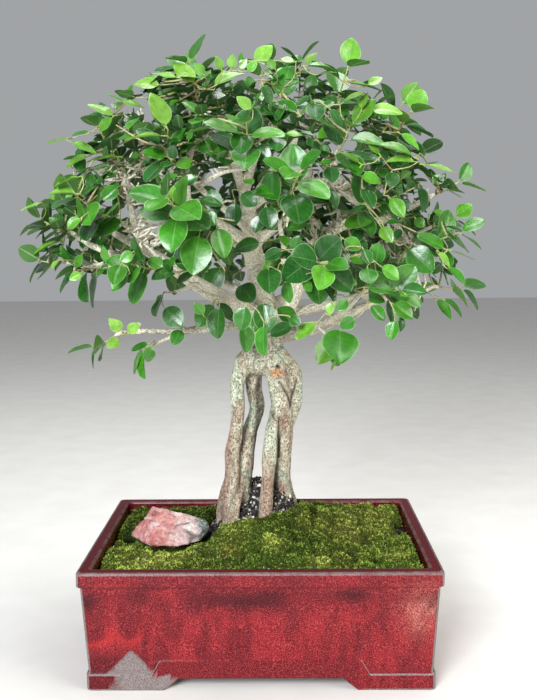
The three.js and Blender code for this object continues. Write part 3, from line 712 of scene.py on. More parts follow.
# Rises of the moss itself, as middle x and y, half width and height
moss_mound = (26, -64, 40, 6)
moss_heap = (-12, -20, 34, 5)
stone_middle = np.array((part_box("stone")[0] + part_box("stone")[1]) / 2)[:2] / MM
moss_edges = {"front": (-2.5, -0.75), "right": (-0.75, 0.6), "back": (0.6, 2.65), "left": (2.65, 3.783)}
# Patches as middle x and y, half width, and how far they turn the moss young, dry or dark
moss_patches = [
    (12, -60, 12, 1, 0, 0), (60, -88, 10, 1, 0, 0), (-108, -66, 46, 1, 0.15, 0), (-24, -24, 26, 0.55, 0, 0),
    (38, -38, 26, 0, 0, 0.45), (-32, -62, 14, 0, 0.75, 0), (95, 0, 44, 0.35, 0.55, 0),
    (120, 60, 40, 0.45, 0.4, 0), (85, -70, 26, 0.2, 0.35, 0.2), (135, -60, 22, 0.5, 0.2, 0),
    (-120, 60, 46, 0.05, 0.2, 0.8), (-60, 70, 34, 0, 0.1, 0.8), (-66, 20, 22, 0, 0, 0.8),
    (60, 80, 30, 0.2, 0.3, 0.3), (-60, -90, 24, 0, 0, 0.45), (48, -10, 16, 0.4, 0.3, 0),
]
# Bright clumps that stand proud, as middle x and y, half width and height
moss_clumps = [(12, -56, 8, 3.5), (12, -69, 7, 2.5), (60, -88, 8, 3)]
# Holes where the moss has died back to the soil, as middle x and y and half width
moss_holes = [
    (67, 20, 9), (75, 17, 6), (101, -20, 11), (112, -25, 8), (155, 30, 12), (157, 52, 11),
    (-43, 33, 12), (-54, 22, 13), (-50, 12, 11), (-51, -4, 9), (-58, -18, 7), (12, -100, 7),
    (24, -101, 5), (-150, 10, 12), (-152, -20, 10), (90, -84, 6), (52, 32, 7), (-120, -68, 5),
]
# Bits of pale grit on the moss, as middle x and y, spread and how many
pale_grit = [(11, -98, 6, 8), (-118, -73, 5, 9), (106, -22, 5, 6), (70, 20, 5, 6)]
litter_count = 110
# Clump sizes: large ones, and small ones on them, each with the seed that places them
large_clumps, small_clumps = (19, 21), (9, 31)
moss_colours = {
    "green": [(0.3, "#294416"), (0.5, "#597824"), (0.7, "#9cb856")],
    "young": [(0.3, "#8a9c36"), (0.7, "#d8e070")],
    "dry": [(0.3, "#5f5826"), (0.7, "#bab25a")],
    "dark": [(0.3, "#161d08"), (0.7, "#3b4c18")],
}


def moss_top(x, y):
    """Height of the moss's general surface"""
    ripple = 1.6 * np.sin(x / 17 + 1) * np.cos(y / 14)
    hollow = bump(x, y, (*stone_middle, 46, 3))
    return ground(x, y) + moss_height + ripple + bump(x, y, moss_mound) - hollow


def pillows(x, y, size, seed):
    """Rounded clumps about `size` across, 1 in a clump's middle and 0 in the seams between them"""
    cell = np.stack([np.floor(x / size), np.floor(y / size)], axis=-1).astype(np.int64)
    nearest = np.full(x.shape, 9.0)
    for step in itertools.product((-1, 0, 1), repeat=2):
        other = cell + np.array(step)
        key = np.stack([other[..., 0], other[..., 1], np.zeros_like(other[..., 0])], axis=-1)
        middle_x = other[..., 0] + 0.15 + 0.7 * lattice(key, seed)
        middle_y = other[..., 1] + 0.15 + 0.7 * lattice(key, seed + 1)
        nearest = np.minimum(nearest, np.hypot(x / size - middle_x, y / size - middle_y))
    return np.clip(1 - nearest ** 2 / 0.55, 0, 1)


def moss_surface(x, y, edge):
    """Height of the cushion as it shows, clumped and rounded down at its edges"""
    seat = np.exp(-(((x - stone_middle[0]) / 54) ** 2 + ((y - stone_middle[1]) / 33) ** 2) ** 2)
    clump = 6.2 * pillows(x, y, *large_clumps) + 3.8 * pillows(x, y, *small_clumps) - 4.4
    full = moss_top(x, y) + clump * (1 - 0.8 * seat) - 5 * seat + bump(x, y, moss_heap)
    full = full + sum(bump(x, y, proud) for proud in moss_clumps)
    full = full + 1.2 * lumps(np.stack([x, y, 0 * x], axis=-1), 4, 41)
    low = ground(x, y) - 2
    hole = 1 - sum(np.exp(-(((x - a) ** 2 + (y - b) ** 2) / size ** 2) ** 2) for a, b, size in moss_holes)
    return low + (full - low) * np.minimum(ramp(edge, -0.02, 1) ** 0.5, np.clip(hole, 0, 1))


def moss_tones(x, y):
    """How young, dry and dark the moss is"""
    young, dry, dark = np.zeros_like(x), np.zeros_like(x), np.zeros_like(x)
    for middle_x, middle_y, width, more_young, more_dry, more_dark in moss_patches:
        near = np.exp(-((x - middle_x) ** 2 + (y - middle_y) ** 2) / width ** 2)
        young = np.maximum(young, near * more_young)
        dry = np.maximum(dry, near * more_dry)
        dark = np.maximum(dark, near * more_dark)
    flat = np.stack([x, y, 0 * x], axis=-1)
    young = np.clip(young + 0.18 * lumps(flat, 9, 51), 0, 1)
    return young, np.clip(dry + 0.15 * lumps(flat, 14, 52), 0, 1), dark


def moss_material():
    """Living moss: matt shoots, yellow-green where young, painted light at their tips, painted shade at their
    feet
    """
    material, tree = new_material("living_cushion_moss")
    where = add(tree, "TexCoord").outputs["Object"]
    fine = add(tree, "TexNoise", {"Scale": METRE / 1.4, "Detail": 3.0}, {"Vector": where})
    marks = {name: add(tree, "Attribute", {"attribute_name": name}).outputs["Fac"]
             for name in ("young", "dry", "dark", "tip")}
    colour = add(tree, "ValToRGB", {"stops": moss_colours["green"]}, {0: fine})
    for name in ("young", "dry", "dark"):
        other = add(tree, "ValToRGB", {"stops": moss_colours[name]}, {0: fine})
        colour = add(tree, "Mix", {"data_type": "RGBA"}, {0: marks[name], 6: colour, 7: other})
    # Painted light and shade: the tip mark scales the colour, darkest at the feet and in seams, brightest at
    # the tips
    painted_light_and_shade = add(tree, "MapRange", {"To Min": 0.03, "To Max": 1.8}, {0: marks["tip"]})
    lit = add(tree, "VectorMath", {"operation": "SCALE"}, {0: colour, "Scale": painted_light_and_shade})
    moss = add(tree, "BsdfPrincipled", {"Roughness": 0.8, "IOR": 1.4, "Specular IOR Level": 0.1}, {
        "Base Color": lit,
    })
    add(tree, "OutputMaterial", links={"Surface": moss})
    return material


def moss_map(start, end, rows, columns):
    """A grid over a cushion from the bare heap out to the pot's wall, and how far in from its edge each is"""
    turned = np.linspace(start, end, columns)[None, :]
    out = np.linspace(0, 1, rows)[:, None]
    inner_x = bare_soil[0] + bare_soil[2] * np.cos(turned)
    inner_y = bare_soil[1] + bare_soil[3] * np.sin(turned)
    half_x, half_y = cavity_half(soil_level + moss_height, 1.6)
    reach = np.full(turned.shape, np.inf)
    ways = (np.cos(turned), half_x, bare_soil[0]), (np.sin(turned), half_y, bare_soil[1])
    for part, half, middle in ways:
        safe = np.where(np.abs(part) < 1e-6, 1e-6, part)
        reach = np.minimum(reach, (np.sign(part) * half - middle) / safe)
    outer_x = bare_soil[0] + reach * np.cos(turned)
    outer_y = bare_soil[1] + reach * np.sin(turned)
    x = inner_x + (outer_x - inner_x) * out
    y = inner_y + (outer_y - inner_y) * out
    x, y = inside_corner(x, y, half_x, half_y)
    length = np.hypot(outer_x - inner_x, outer_y - inner_y)
    swing = np.hypot(x - bare_soil[0], y - bare_soil[1])
    sides = np.minimum(turned - start, end - turned) * swing / 5
    ends = np.minimum(out * length / 9, (1 - out) * length / 5)
    return x, y, np.clip(np.minimum(sides, ends), 0, 1)


def moss_shoots(top):
    """Shoots spread evenly over a mat's top: the foot of each, and its star of narrow blades"""
    corners = [top[:-1, :-1], top[:-1, 1:], top[1:, 1:], top[1:, :-1]]
    area = np.linalg.norm(np.cross(corners[2] - corners[0], corners[3] - corners[1]), axis=-1).ravel() / 2
    count = int(area.sum() * shoots_per_square)
    picked = draw.choice(len(area), count, p=area / area.sum())
    u, v = draw.uniform(0, 1, (2, count, 1))
    a, b, c, d = (corner.reshape(-1, 3)[picked] for corner in corners)
    foot = (a * (1 - u) + b * u) * (1 - v) + (d * (1 - u) + c * u) * v
    living = foot[:, 2] > ground(foot[:, 0], foot[:, 1]) + 2.5
    foot, a, b, d = foot[living], a[living], b[living], d[living]
    normal = unit(np.cross(b - a, d - a))
    normal *= np.sign(normal[:, 2:])
    each = (len(foot), blades_per_shoot)
    lean = unit(normal[:, None] + draw.normal(0, 0.62, (*each, 3)))
    side = unit(np.cross(lean, draw.normal(size=(*each, 3))))
    height = draw.uniform(2.0, 4.4, (len(foot), 1, 1)) * draw.uniform(0.75, 1.1, (*each, 1))
    half = draw.uniform(0.32, 0.55, (len(foot), 1, 1))
    foot = foot[:, None] - 0.8 * normal[:, None]
    middle = foot + lean * height * 0.55
    blade = np.stack([
        foot - side * half * 0.6, foot + side * half * 0.6,
        middle + side * half, foot + lean * height, middle - side * half,
    ], axis=2)
    return foot[:, 0, :2].T, blade.reshape(-1, 3)


def build_moss(name, start, end, material):
    """One cushion: its mat, and the shoots that stand on it"""
    x, y, edge = moss_map(start, end, moss_rows, int((end - start) * moss_columns))
    top = np.stack([x, y, moss_surface(x, y, edge)], axis=-1)
    under = np.stack([x, y, ground(x, y) - 4], axis=-1)
    points, faces = closed_slab(top, under)
    mat = [*moss_tones(points[:, 0], points[:, 1])]
    # Painted shade on the mat under the shoots
    mat.append(0.1 * ramp(points[:, 2] - ground(points[:, 0], points[:, 1]), 0, 4))
    (shoot_x, shoot_y), blades = moss_shoots(top)
    count = len(shoot_x)
    corners = len(blades) // count
    shoots = [np.repeat(np.clip(tone + draw.normal(0, 0.2, count), 0, 1), corners)
              for tone in moss_tones(shoot_x, shoot_y)]
    # Painted light and shade: bright tips on the clumps, brighter on proud ones, dark ones in the seams
    # between
    painted_clump_light = 0.05 + 0.55 * pillows(shoot_x, shoot_y, *small_clumps)
    painted_clump_light = painted_clump_light + 0.6 * pillows(shoot_x, shoot_y, *large_clumps)
    fresh = 1 + 0.22 * sum(bump(shoot_x, shoot_y, proud) for proud in moss_clumps)
    bright = draw.uniform(0.35, 1.35, count) * painted_clump_light ** 2.0 * fresh
    shoots.append(np.tile([0.1, 0.1, 0.6, 1.0, 0.6], count * blades_per_shoot) * np.repeat(bright, corners))
    marks = {mark: np.concatenate(both) for mark, *both in zip(("young", "dry", "dark", "tip"), mat, shoots)}
    blade_faces = repeated(5, [(0, 1, 2, 4), (4, 2, 3)], count * blades_per_shoot)
    moss = make_piece(f"moss_cushion_{name}", np.concatenate([points, blades]),
                      faces.tolist() + moved_on(blade_faces, len(points)), [material], marks)
    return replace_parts(moss, f"moss_{name}")


def build_litter():
    """Bits of bark and grit that lie on the moss, with some pale grit at the front rim and on the left"""
    x, y = draw.uniform(-150, 150, litter_count), draw.uniform(-95, 95, litter_count)
    size, tone = draw.uniform(0.5, 1.3, litter_count), draw.uniform(0.3, 0.8, litter_count)
    for middle_x, middle_y, spread, more in pale_grit:
        x = np.append(x, middle_x + spread * draw.normal(size=more))
        y = np.append(y, middle_y + 0.5 * spread * draw.normal(size=more))
        size = np.append(size, draw.uniform(0.6, 1.3, more))
        tone = np.append(tone, draw.uniform(0.85, 1, more))
    beside_stone = np.hypot((x - stone_middle[0]) / 46, (y - stone_middle[1]) / 27) > 1
    half_x, half_y = cavity_half(soil_level + moss_height, 2.5)
    kept = (bare_reach(x, y) > 1.1) & beside_stone & (np.abs(x) < half_x) & (np.abs(y) < half_y)
    x, y, size, tone = (values[kept] for values in (x, y, size, tone))
    middle = np.stack([x, y, moss_surface(x, y, np.ones_like(x)) + 1.6], axis=1)
    grains, faces = crumbs(middle, size, (0.5, 1.5))
    return make_piece("litter_on_moss", grains.reshape(-1, 3), faces, [grain_material()],
                      {"tone": np.repeat(tone, grains.shape[1])}, smooth=False)


cushion_moss = moss_material()
for name, (start, end) in moss_edges.items():
    build_moss(name, start, end, cushion_moss)
build_litter()


# Stone
# A lump of salmon-red jasper with white quartz veins, broken and weathered, bedded in the left moss. Its
# right end is a blue-grey broken face.
stone_low, stone_high = (np.array(corner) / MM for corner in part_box("stone"))
# The outline seen from the front, clockwise from the left tip, as distances from the stone's low left corner
stone_outline = [(-4, 7), (24, 40), (35, 37), (64, 31), (81, 28), (86, 16), (80, 4), (52, -2), (16, -1)]
stone_middle_up = (44, 16)
# How far each edge of the outline leans, in degrees, on the stone's front and on its back
edge_slants = [(-38, -30, -34, -40, -25, -8, -8, -6, -12), (40, 46, 40, 38, 30, 25, 30, 20, 30)]
broken_edges = (4, 5)


def stone_material():
    """Jasper with quartz veins: dense stone, broken and weathered, so matt all over"""
    material, tree = new_material("veined_red_jasper")
    where = add(tree, "TexCoord").outputs["Object"]
    drift = add(tree, "TexNoise", {"Scale": METRE / 16, "Detail": 8.0, "Roughness": 0.7}, {"Vector": where})
    veins = add(tree, "TexNoise", {
        "Scale": METRE / 13, "Detail": 8.0, "Roughness": 0.75, "Distortion": 0.5,
    }, {"Vector": where})
    fine = add(tree, "TexNoise", {"Scale": METRE / 2.4, "Detail": 5.0, "Roughness": 0.75}, {"Vector": where})
    red = add(tree, "ValToRGB", {"stops": [
        (0.32, "#8c4540"), (0.44, "#be6a64"), (0.56, "#d38f89"), (0.7, "#e6bdb8"),
    ]}, {0: drift})
    pale = add(tree, "ValToRGB", {"stops": [(0.48, "#000000"), (0.58, "#e0e0e0")]}, {0: veins})
    quartz = add(tree, "Attribute", {"attribute_name": "quartz"}).outputs["Fac"]
    milky = add(tree, "Math", {"operation": "MULTIPLY_ADD", 1: 0.7}, {0: pale, 2: quartz})
    veined = add(tree, "Mix", {"data_type": "RGBA", 7: shade("#eee6e2")}, {0: milky, 6: red})
    grey = add(tree, "ValToRGB", {"stops": [
        (0.36, "#3d4a4e"), (0.5, "#77837f"), (0.66, "#ccd0cc"),
    ]}, {0: fine})
    broken = add(tree, "Attribute", {"attribute_name": "broken"}).outputs["Fac"]
    base = add(tree, "Mix", {"data_type": "RGBA"}, {0: broken, 6: veined, 7: grey})
    # The clefts are darkened brown: partly rust, partly painted shade
    cleft = add(tree, "Attribute", {"attribute_name": "cleft"}).outputs["Fac"]
    base = add(tree, "Mix", {"data_type": "RGBA", 7: shade("#4a3830")}, {0: cleft, 6: base})
    dust = add(tree, "MapRange", {
        "From Min": 0.32, "From Max": 0.68, "To Min": 0.45, "To Max": 1.15,
    }, {0: fine})
    dusty = add(tree, "VectorMath", {"operation": "SCALE"}, {0: base, "Scale": dust})
    chips = add(tree, "Bump", {"Strength": 1.0, "Distance": 1.8 * MM}, {"Height": fine})
    stone = add(tree, "BsdfPrincipled", {"Roughness": 0.62, "IOR": 1.54}, {
        "Base Color": dusty, "Normal": chips,
    })
    add(tree, "OutputMaterial", links={"Surface": stone})
    return material


def build_stone():
    """A ball cut back to the broken faces along its outline, then chipped"""
    shape, faces = ball(60, 100)
    outline = np.array(stone_outline, float) - stone_middle_up
    ways, depth, ends = [], [], []
    for slants in edge_slants:
        for i, (here, after, slant) in enumerate(zip(outline, np.roll(outline, -1, axis=0), slants)):
            edge = unit(after - here)
            flat = np.array([-edge[1], edge[0]])
            slant = math.radians(slant)
            ways.append([flat[0] * math.cos(slant), math.sin(slant), flat[1] * math.cos(slant)])
            depth.append(flat.dot(here) * math.cos(slant))
            ends.append(i in broken_edges)
    # One flat face each towards the front and the back
    for way in ((0, -1, 0.12), (0, 1, 0.2)):
        ways.append(unit(np.array(way)))
        depth.append(20)
        ends.append(False)
    reach = np.clip(shape @ np.array(ways).T, 1e-3, None) / depth
    # A high power of the largest reach keeps the arrises sharp but not knife-edged
    radius = 1 / (reach ** 60).sum(axis=1) ** (1 / 60)
    points = shape * radius[:, None]
    away = unit(points)
    middle = (stone_low + stone_high) / 2
    middle[[0, 2]] = stone_low[[0, 2]] + stone_middle_up
    points = points + middle
    chips = 1.4 * lumps(points, 12, 61) + 1.1 * lumps(points * [1, 1, 1.8], 6, 62)
    chips = chips + 0.7 * lumps(points, 2.6, 63) - 0.5
    crease = 1 - ramp(np.abs(lumps(points * [0.7, 1, 1.5], 13, 65)), 0.02, 0.16)
    crease = crease * ramp(lumps(points, 20, 66), -0.4, 0.2)
    points = points + away * (chips - 1.6 * crease)[:, None]
    right_end = ramp(points[:, 0] - stone_low[0] + 4 * lumps(points, 9, 68), 70, 75)
    broken = np.maximum(np.array(ends)[reach.argmax(axis=1)], right_end)
    marks = {
        "broken": broken * ramp(lumps(points, 7, 64), -0.9, -0.2),
        "cleft": 0.9 * crease,
        "quartz": 0.5 * ramp(points[:, 0] - middle[0] + 14 * lumps(points, 10, 67), -16, 26),
    }
    return make_piece("red_stone", points, faces, [stone_material()], marks)


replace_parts(build_stone(), "stone")


# Wood
# The tree's own wood: four stems and a side root that fused at a knotted shoulder, the short trunk above it
# and the limbs. The bark is pale, thin and furrowed, with greenish-white lichen and brown-pink patches.
# Each line is written as x, y, z and radius, from the thick end to the thin one.

# Stems and roots from the shoulder down into the soil
stems = [
    [[-18, 10, 312, 10], [-25, 4, 285, 8], [-25, 0, 250, 7.4], [-31, 1, 212, 8.2], [-33, 3, 170, 8.6],
      [-36, 5, 135, 8], [-36, 6, 72, 6]],
    [[-8, 22, 302, 10], [-8, 25, 278, 9.4], [-5, 27, 254, 8.6], [-13, 21, 228, 8.6], [-18, 13, 196, 9.4],
      [-20, 16, 160, 9.4], [-19, 22, 120, 7], [-18, 24, 76, 5.5]],
    [[18, 10, 304, 13], [21, 9, 278, 12.4], [24, 9, 254, 11], [25, 11, 232, 9.8], [23, 13, 200, 9.2],
      [23, 18, 165, 9.4], [25, 22, 130, 8.4], [27, 26, 72, 6]],
    [[22, 4, 268, 8], [15, 0, 246, 7.8], [10, -3, 218, 7.8], [7, -6, 180, 7.8], [4, -8, 135, 7.2],
      [3, -8, 74, 5.4]],
    [[26, 13, 310, 8], [36.5, 13, 298, 8], [38.5, 14, 277, 7.8], [37, 14, 258, 6.6], [30, 13, 238, 5.5]],
]
flares = [
    [[-32, 4, 190, 5], [-40, 11, 168, 5.2], [-46, 18, 146, 4.8], [-51, 23, 96, 3.4]],
    [[-20, 14, 184, 5], [-24, 5, 164, 4.6], [-28, -2, 146, 4.2], [-31, -5, 94, 3.2]],
    [[26, 18, 184, 5.2], [30, 27, 162, 5], [35, 36, 142, 4.8], [38, 41, 98, 3.4]],
]
# Shoulder and trunk
trunk = [
    [[-24, 11, 302, 11], [-11, 14, 308, 17], [7, 15, 310, 19], [22, 13, 305, 16], [33, 13, 300, 10]],
    [[6, 17, 312, 15], [12, 18, 335, 14], [8, 18, 362, 13], [-2, 20, 395, 11.5], [-8, 22, 433, 10],
      [-12, 24, 471, 8.6], [-18, 24, 500, 6.5]],
]
# Limbs that carry the crown, from the trunk outwards
limbs = {
    "upLeft": [[-17, 24, 494, 6.5], [-29, 18, 524, 5], [-42, 14, 553, 3.6], [-54, 10, 572, 2.2]],
    "upBack": [[-18, 26, 496, 6.5], [-24, 36, 531, 5], [-15, 46, 566, 3.6], [-4, 50, 586, 2.2]],
    "upRight": [[-12, 24, 473, 6], [14, 26, 512, 5], [42, 30, 548, 3.6], [58, 34, 566, 2.2]],
    "upFront": [[-16, 22, 486, 5.5], [-6, -12, 516, 4], [8, -46, 540, 3], [16, -72, 548, 2.2]],
    "arch": [[-12, 20, 474, 6.4], [17, 10, 490, 5.8], [50, 0, 497, 5.4], [82, -9, 495, 5],
      [104, -10, 477, 4.4], [118, -4, 486, 3.6], [134, 0, 500, 2.4]],
    "archUp": [[50, 0, 496, 4.4], [53, -3, 521, 3.6], [47, -8, 550, 3], [42, -14, 570, 2.2]],
    "archRight": [[88, -9, 492, 4.2], [108, -2, 514, 3.4], [122, 4, 540, 2.8], [126, 8, 546, 2.2]],
    "right": [[15, 16, 342, 9.5], [31, 10, 366, 8.6], [41, 4, 392, 8], [56, -3, 417, 7.4],
      [78, -12, 450, 6.6], [100, -16, 456, 6], [122, -18, 456, 5.6]],
    "rightUp": [[34, 7, 380, 5], [29, -4, 405, 4], [26, -14, 430, 3.2], [22, -30, 456, 2.4]],
    "rightFar": [[118, -18, 455, 4.4], [146, -22, 466, 3.4], [176, -26, 482, 2.4]],
    "rightMiddle": [[56, -2, 417, 5.4], [88, 6, 419, 4.8], [125, 8, 425, 4.2], [155, 4, 440, 3.2],
      [177, -2, 450, 2.3]],
    "rightLow": [[22, 12, 336, 8.5], [43, -2, 342, 7], [66, -11, 349, 6], [96, -20, 364, 5.2],
      [142, -28, 383, 4.2], [164, -27, 384, 3], [181, -23, 390, 2.3]],
    "rightBack": [[22, 16, 356, 7], [63, 28, 366, 5.4], [100, 44, 374, 4], [138, 62, 386, 2.4]],
    "rightHigh": [[-6, 22, 436, 6.6], [20, 30, 454, 5.4], [62, 44, 478, 4], [108, 58, 496, 2.4]],
    "left": [[2, 12, 350, 11], [-22, 1, 369, 9.4], [-54, -12, 387, 8.2], [-80, -20, 405, 7.6],
      [-104, -24, 421, 6.8]],
    "leftOut": [[-101, -24, 419, 6.4], [-119, -28, 412, 5.4], [-149, -34, 426, 4.4], [-172, -36, 436, 3.2],
      [-192, -36, 449, 2.4]],
    "leftTip": [[-145, -33, 423, 4], [-157, -38, 416, 3.4], [-177, -43, 415, 3], [-190, -45, 418, 2.4]],
    "leftBack": [[-102, -22, 420, 6.4], [-128, -6, 434, 5], [-156, 12, 448, 3.6], [-182, 26, 465, 2.4]],
    "leftUp": [[-126, -8, 433, 4.6], [-130, -12, 460, 3.8], [-137, -14, 490, 3], [-140, -16, 514, 2.2]],
    "leftLow": [[2, 8, 340, 7.5], [-24, -8, 349, 5.4], [-54, -16, 347, 4.6], [-90, -24, 345, 3.8],
      [-122, -28, 346, 3], [-146, -30, 344, 2.4]],
    "leftHigh": [[-8, 22, 434, 7], [-42, 18, 456, 5.6], [-78, 12, 484, 4.4], [-116, 6, 520, 2.4]],
    "backLeft": [[-8, 26, 424, 7], [-35, 60, 442, 5.6], [-68, 92, 462, 4], [-96, 114, 484, 2.4]],
    "backRight": [[0, 28, 408, 7], [35, 60, 424, 5.6], [75, 88, 442, 4], [110, 106, 462, 2.4]],
    "back": [[-10, 30, 454, 6], [-4, 68, 478, 4.8], [4, 94, 498, 3.4], [8, 114, 518, 2.3]],
    "backLowLeft": [[6, 24, 374, 6], [-24, 60, 384, 4.8], [-54, 94, 396, 3.4], [-82, 112, 410, 2.3]],
    "backLowRight": [[10, 24, 368, 6], [28, 62, 376, 4.8], [44, 100, 388, 3.4], [56, 126, 402, 2.3]],
    "frontHigh": [[-6, 14, 444, 5.4], [-24, -22, 462, 4.4], [-48, -56, 482, 3.4], [-66, -84, 500, 2.3]],
    "frontRight": [[0, 10, 402, 5.4], [26, -26, 418, 4.4], [54, -60, 436, 3.4], [78, -84, 456, 2.3]],
    "frontLowLeft": [[-30, -3, 372, 5], [-46, -34, 380, 3.8], [-66, -66, 394, 3], [-86, -88, 412, 2.3]],
    "frontLowRight": [[62, -10, 348, 4.8], [74, -40, 358, 3.6], [88, -70, 372, 2.9], [104, -92, 390, 2.3]],
}
# Short stubs that carry a few leaves of their own low on the limbs
spurs = {
    "hanging": [[-54, -16, 349, 2.2], [-52, -21, 358, 1.8], [-50, -27, 364, 1.6]],
    "lowLeft": [[-84, -22, 344, 2.2], [-94, -28, 339, 1.9], [-104, -32, 335, 1.6]],
    "midLeft": [[-54, -12, 386, 2.4], [-64, -22, 391, 2], [-82, -30, 388, 1.6]],
    "shoulder": [[14, 6, 348, 2.4], [16, -8, 356, 2], [16, -17, 362, 1.6]],
    "glossy": [[60, -9, 347, 2.4], [64, -20, 346, 2], [67, -28, 343, 1.6]],
}

crown_middle = np.array([-6.0, -4.0, 440.0])
crown_half = np.array([236.0, 186.0])
crown_rise, crown_drop, crown_spacing = 205, 92, 51
twig_length, twig_radius, twig_tip = 38, 1.5, 5
leaf_length, leaf_width = 34, 25
spray_count = 50
straight_up = np.array([0.0, 0.0, 1.0])
# Shoots as length, pairs of leaves, how much they droop, and the size of their leaves
long_shoot, outer_shoot = (38, 3, 0.15, 1), (24, 2, 0.15, 1)
short_shoot, dome_shoot = (12, 1, 1.3, 1), (44, 4, 0.15, 1.12)
bare_ends = ("right", "left")
outer_ends = ("leftOut", "leftTip", "leftLow", "rightLow", "rightMiddle", "rightFar")
seats = []
branchlets = []


def crown_radii(above):
    """The crown's half sizes, above or below its middle"""
    return np.array([*crown_half, crown_rise if above else crown_drop], float)


def outward(place):
    """The way out of the crown from a place in it"""
    away = place - crown_middle
    return unit(away / crown_radii(away[2] > 0))


def add_tip(points, bend, shoot):
    """Ends a limb in a short tip, from which a shoot grows on"""
    end, before = np.array(points[-1][:3], float), np.array(points[-2][:3], float)
    heading = unit(unit(end - before) + outward(end) * bend)
    seat = end + heading * twig_tip
    points.append([*seat, twig_radius])
    seats.append((seat, heading, *shoot))


def nearest_wood(seat):
    """Where a branchlet leaves the wood for a seat: close by, and not much further out than the seat"""
    best = (math.inf, None, None)
    for points in [*trunk, *limbs.values()]:
        line = np.array(points, float)
        for near, far in zip(line[:-1], line[1:]):
            for part in (0, 0.5):
                start = near + (far - near) * part
                reach = np.linalg.norm(start[:3] - seat)
                inwards = np.linalg.norm(start[:3] - crown_middle) - np.linalg.norm(seat - crown_middle)
                cost = reach + max(0, inwards + 20) * 2
                if cost < best[0] and reach > 25:
                    best = (cost, start[:3], start[3])
    return best[1:]


def sphere_way(height, turned):
    """The way out to a height from -1 to 1 and a turn on a ball"""
    level = math.sqrt(1 - height * height)
    return np.array([level * math.cos(turned), level * math.sin(turned), height])


def add_dome_seats():
    """Seats over the dome, in an even order that is neither a grid nor a spiral"""
    for i in range(1, 201):
        if len(seats) >= spray_count:
            break
        height = 1 - 1.62 * ((i * 0.7548776662) % 1)
        way = sphere_way(height, 2 * math.pi * ((i * 0.569840291) % 1))
        heading = unit(way + 0.25 * straight_up)
        seat = crown_middle + way * crown_radii(height > 0) - way * (twig_length + 0.55 * leaf_length)
        if any(np.linalg.norm(other[0] - seat) < crown_spacing for other in seats):
            continue
        start, radius = nearest_wood(seat)
        before = seat - heading * twig_tip
        middle = (start + before) / 2 + straight_up * 0.06 * np.linalg.norm(start - seat)
        line = [[*start, min(radius, 2.8)], [*middle, 2.2], [*before, 1.8], [*seat, twig_radius]]
        branchlets.append(line)
        seats.append((seat, heading, *dome_shoot))


for name, points in limbs.items():
    if name not in bare_ends:
        add_tip(points, 1, outer_shoot if name in outer_ends else long_shoot)
for points in spurs.values():
    add_tip(points, 0, short_shoot)
add_dome_seats()


def curve_through(points, spacing):
    """Places and radii every so many millimetres along a smooth curve through x, y, z and radius points"""
    given = np.array(points, float)
    whole = np.vstack([2 * given[0] - given[1], given, 2 * given[-1] - given[-2]])
    rows = []
    for a, b, c, d in zip(whole, whole[1:], whole[2:], whole[3:]):
        first, second, third = (np.linalg.norm((n - m)[:3]) ** 0.5 for m, n in ((a, b), (b, c), (c, d)))
        leave = second * ((b - a) / first - (c - a) / (first + second) + (c - b) / second)
        arrive = second * ((c - b) / second - (d - b) / (second + third) + (d - c) / third)
        count = max(1, round(second ** 2 / spacing))
        t = (np.arange(count) / count)[:, None]
        place = b + leave * t + (3 * (c - b) - 2 * leave - arrive) * t ** 2
        place = place + (2 * (b - c) + leave + arrive) * t ** 3
        place[:, 3] = b[3] + (c[3] - b[3]) * t[:, 0]
        rows.append(place)
    line = np.vstack([*rows, given[-1:]])
    return line[:, :3], line[:, 3]


def square_ways(line):
    """Two ways square to a line at each of its points, carried along it without a twist"""
    ahead = unit(np.gradient(line, axis=0))
    side = np.array([0.6, -0.7, 0.4])
    sides = []
    for way in ahead:
        side = unit(side - way * side.dot(way))
        sides.append(side)
    sides = np.array(sides)
    return sides, np.cross(ahead, sides)


def tube(line, radii, corners, first=0):
    """Points and faces of a closed tube round a line"""
    sides, uprights = square_ways(line)
    turns = 2 * math.pi * np.arange(corners) / corners
    ring = np.cos(turns)[None, :, None] * sides[:, None] + np.sin(turns)[None, :, None] * uprights[:, None]
    points = line[:, None] + ring * np.reshape(radii, (-1, 1, 1))
    return points.reshape(-1, 3), closed_rings(len(line), corners, first)


def tubes(lines, corners):
    """Several tubes as one set of points and faces"""
    points, faces, count = [], [], 0
    for line, radii in lines:
        more_points, more_faces = tube(line, radii, corners, count)
        points.append(more_points)
        faces += more_faces
        count += len(more_points)
    return np.concatenate(points), faces


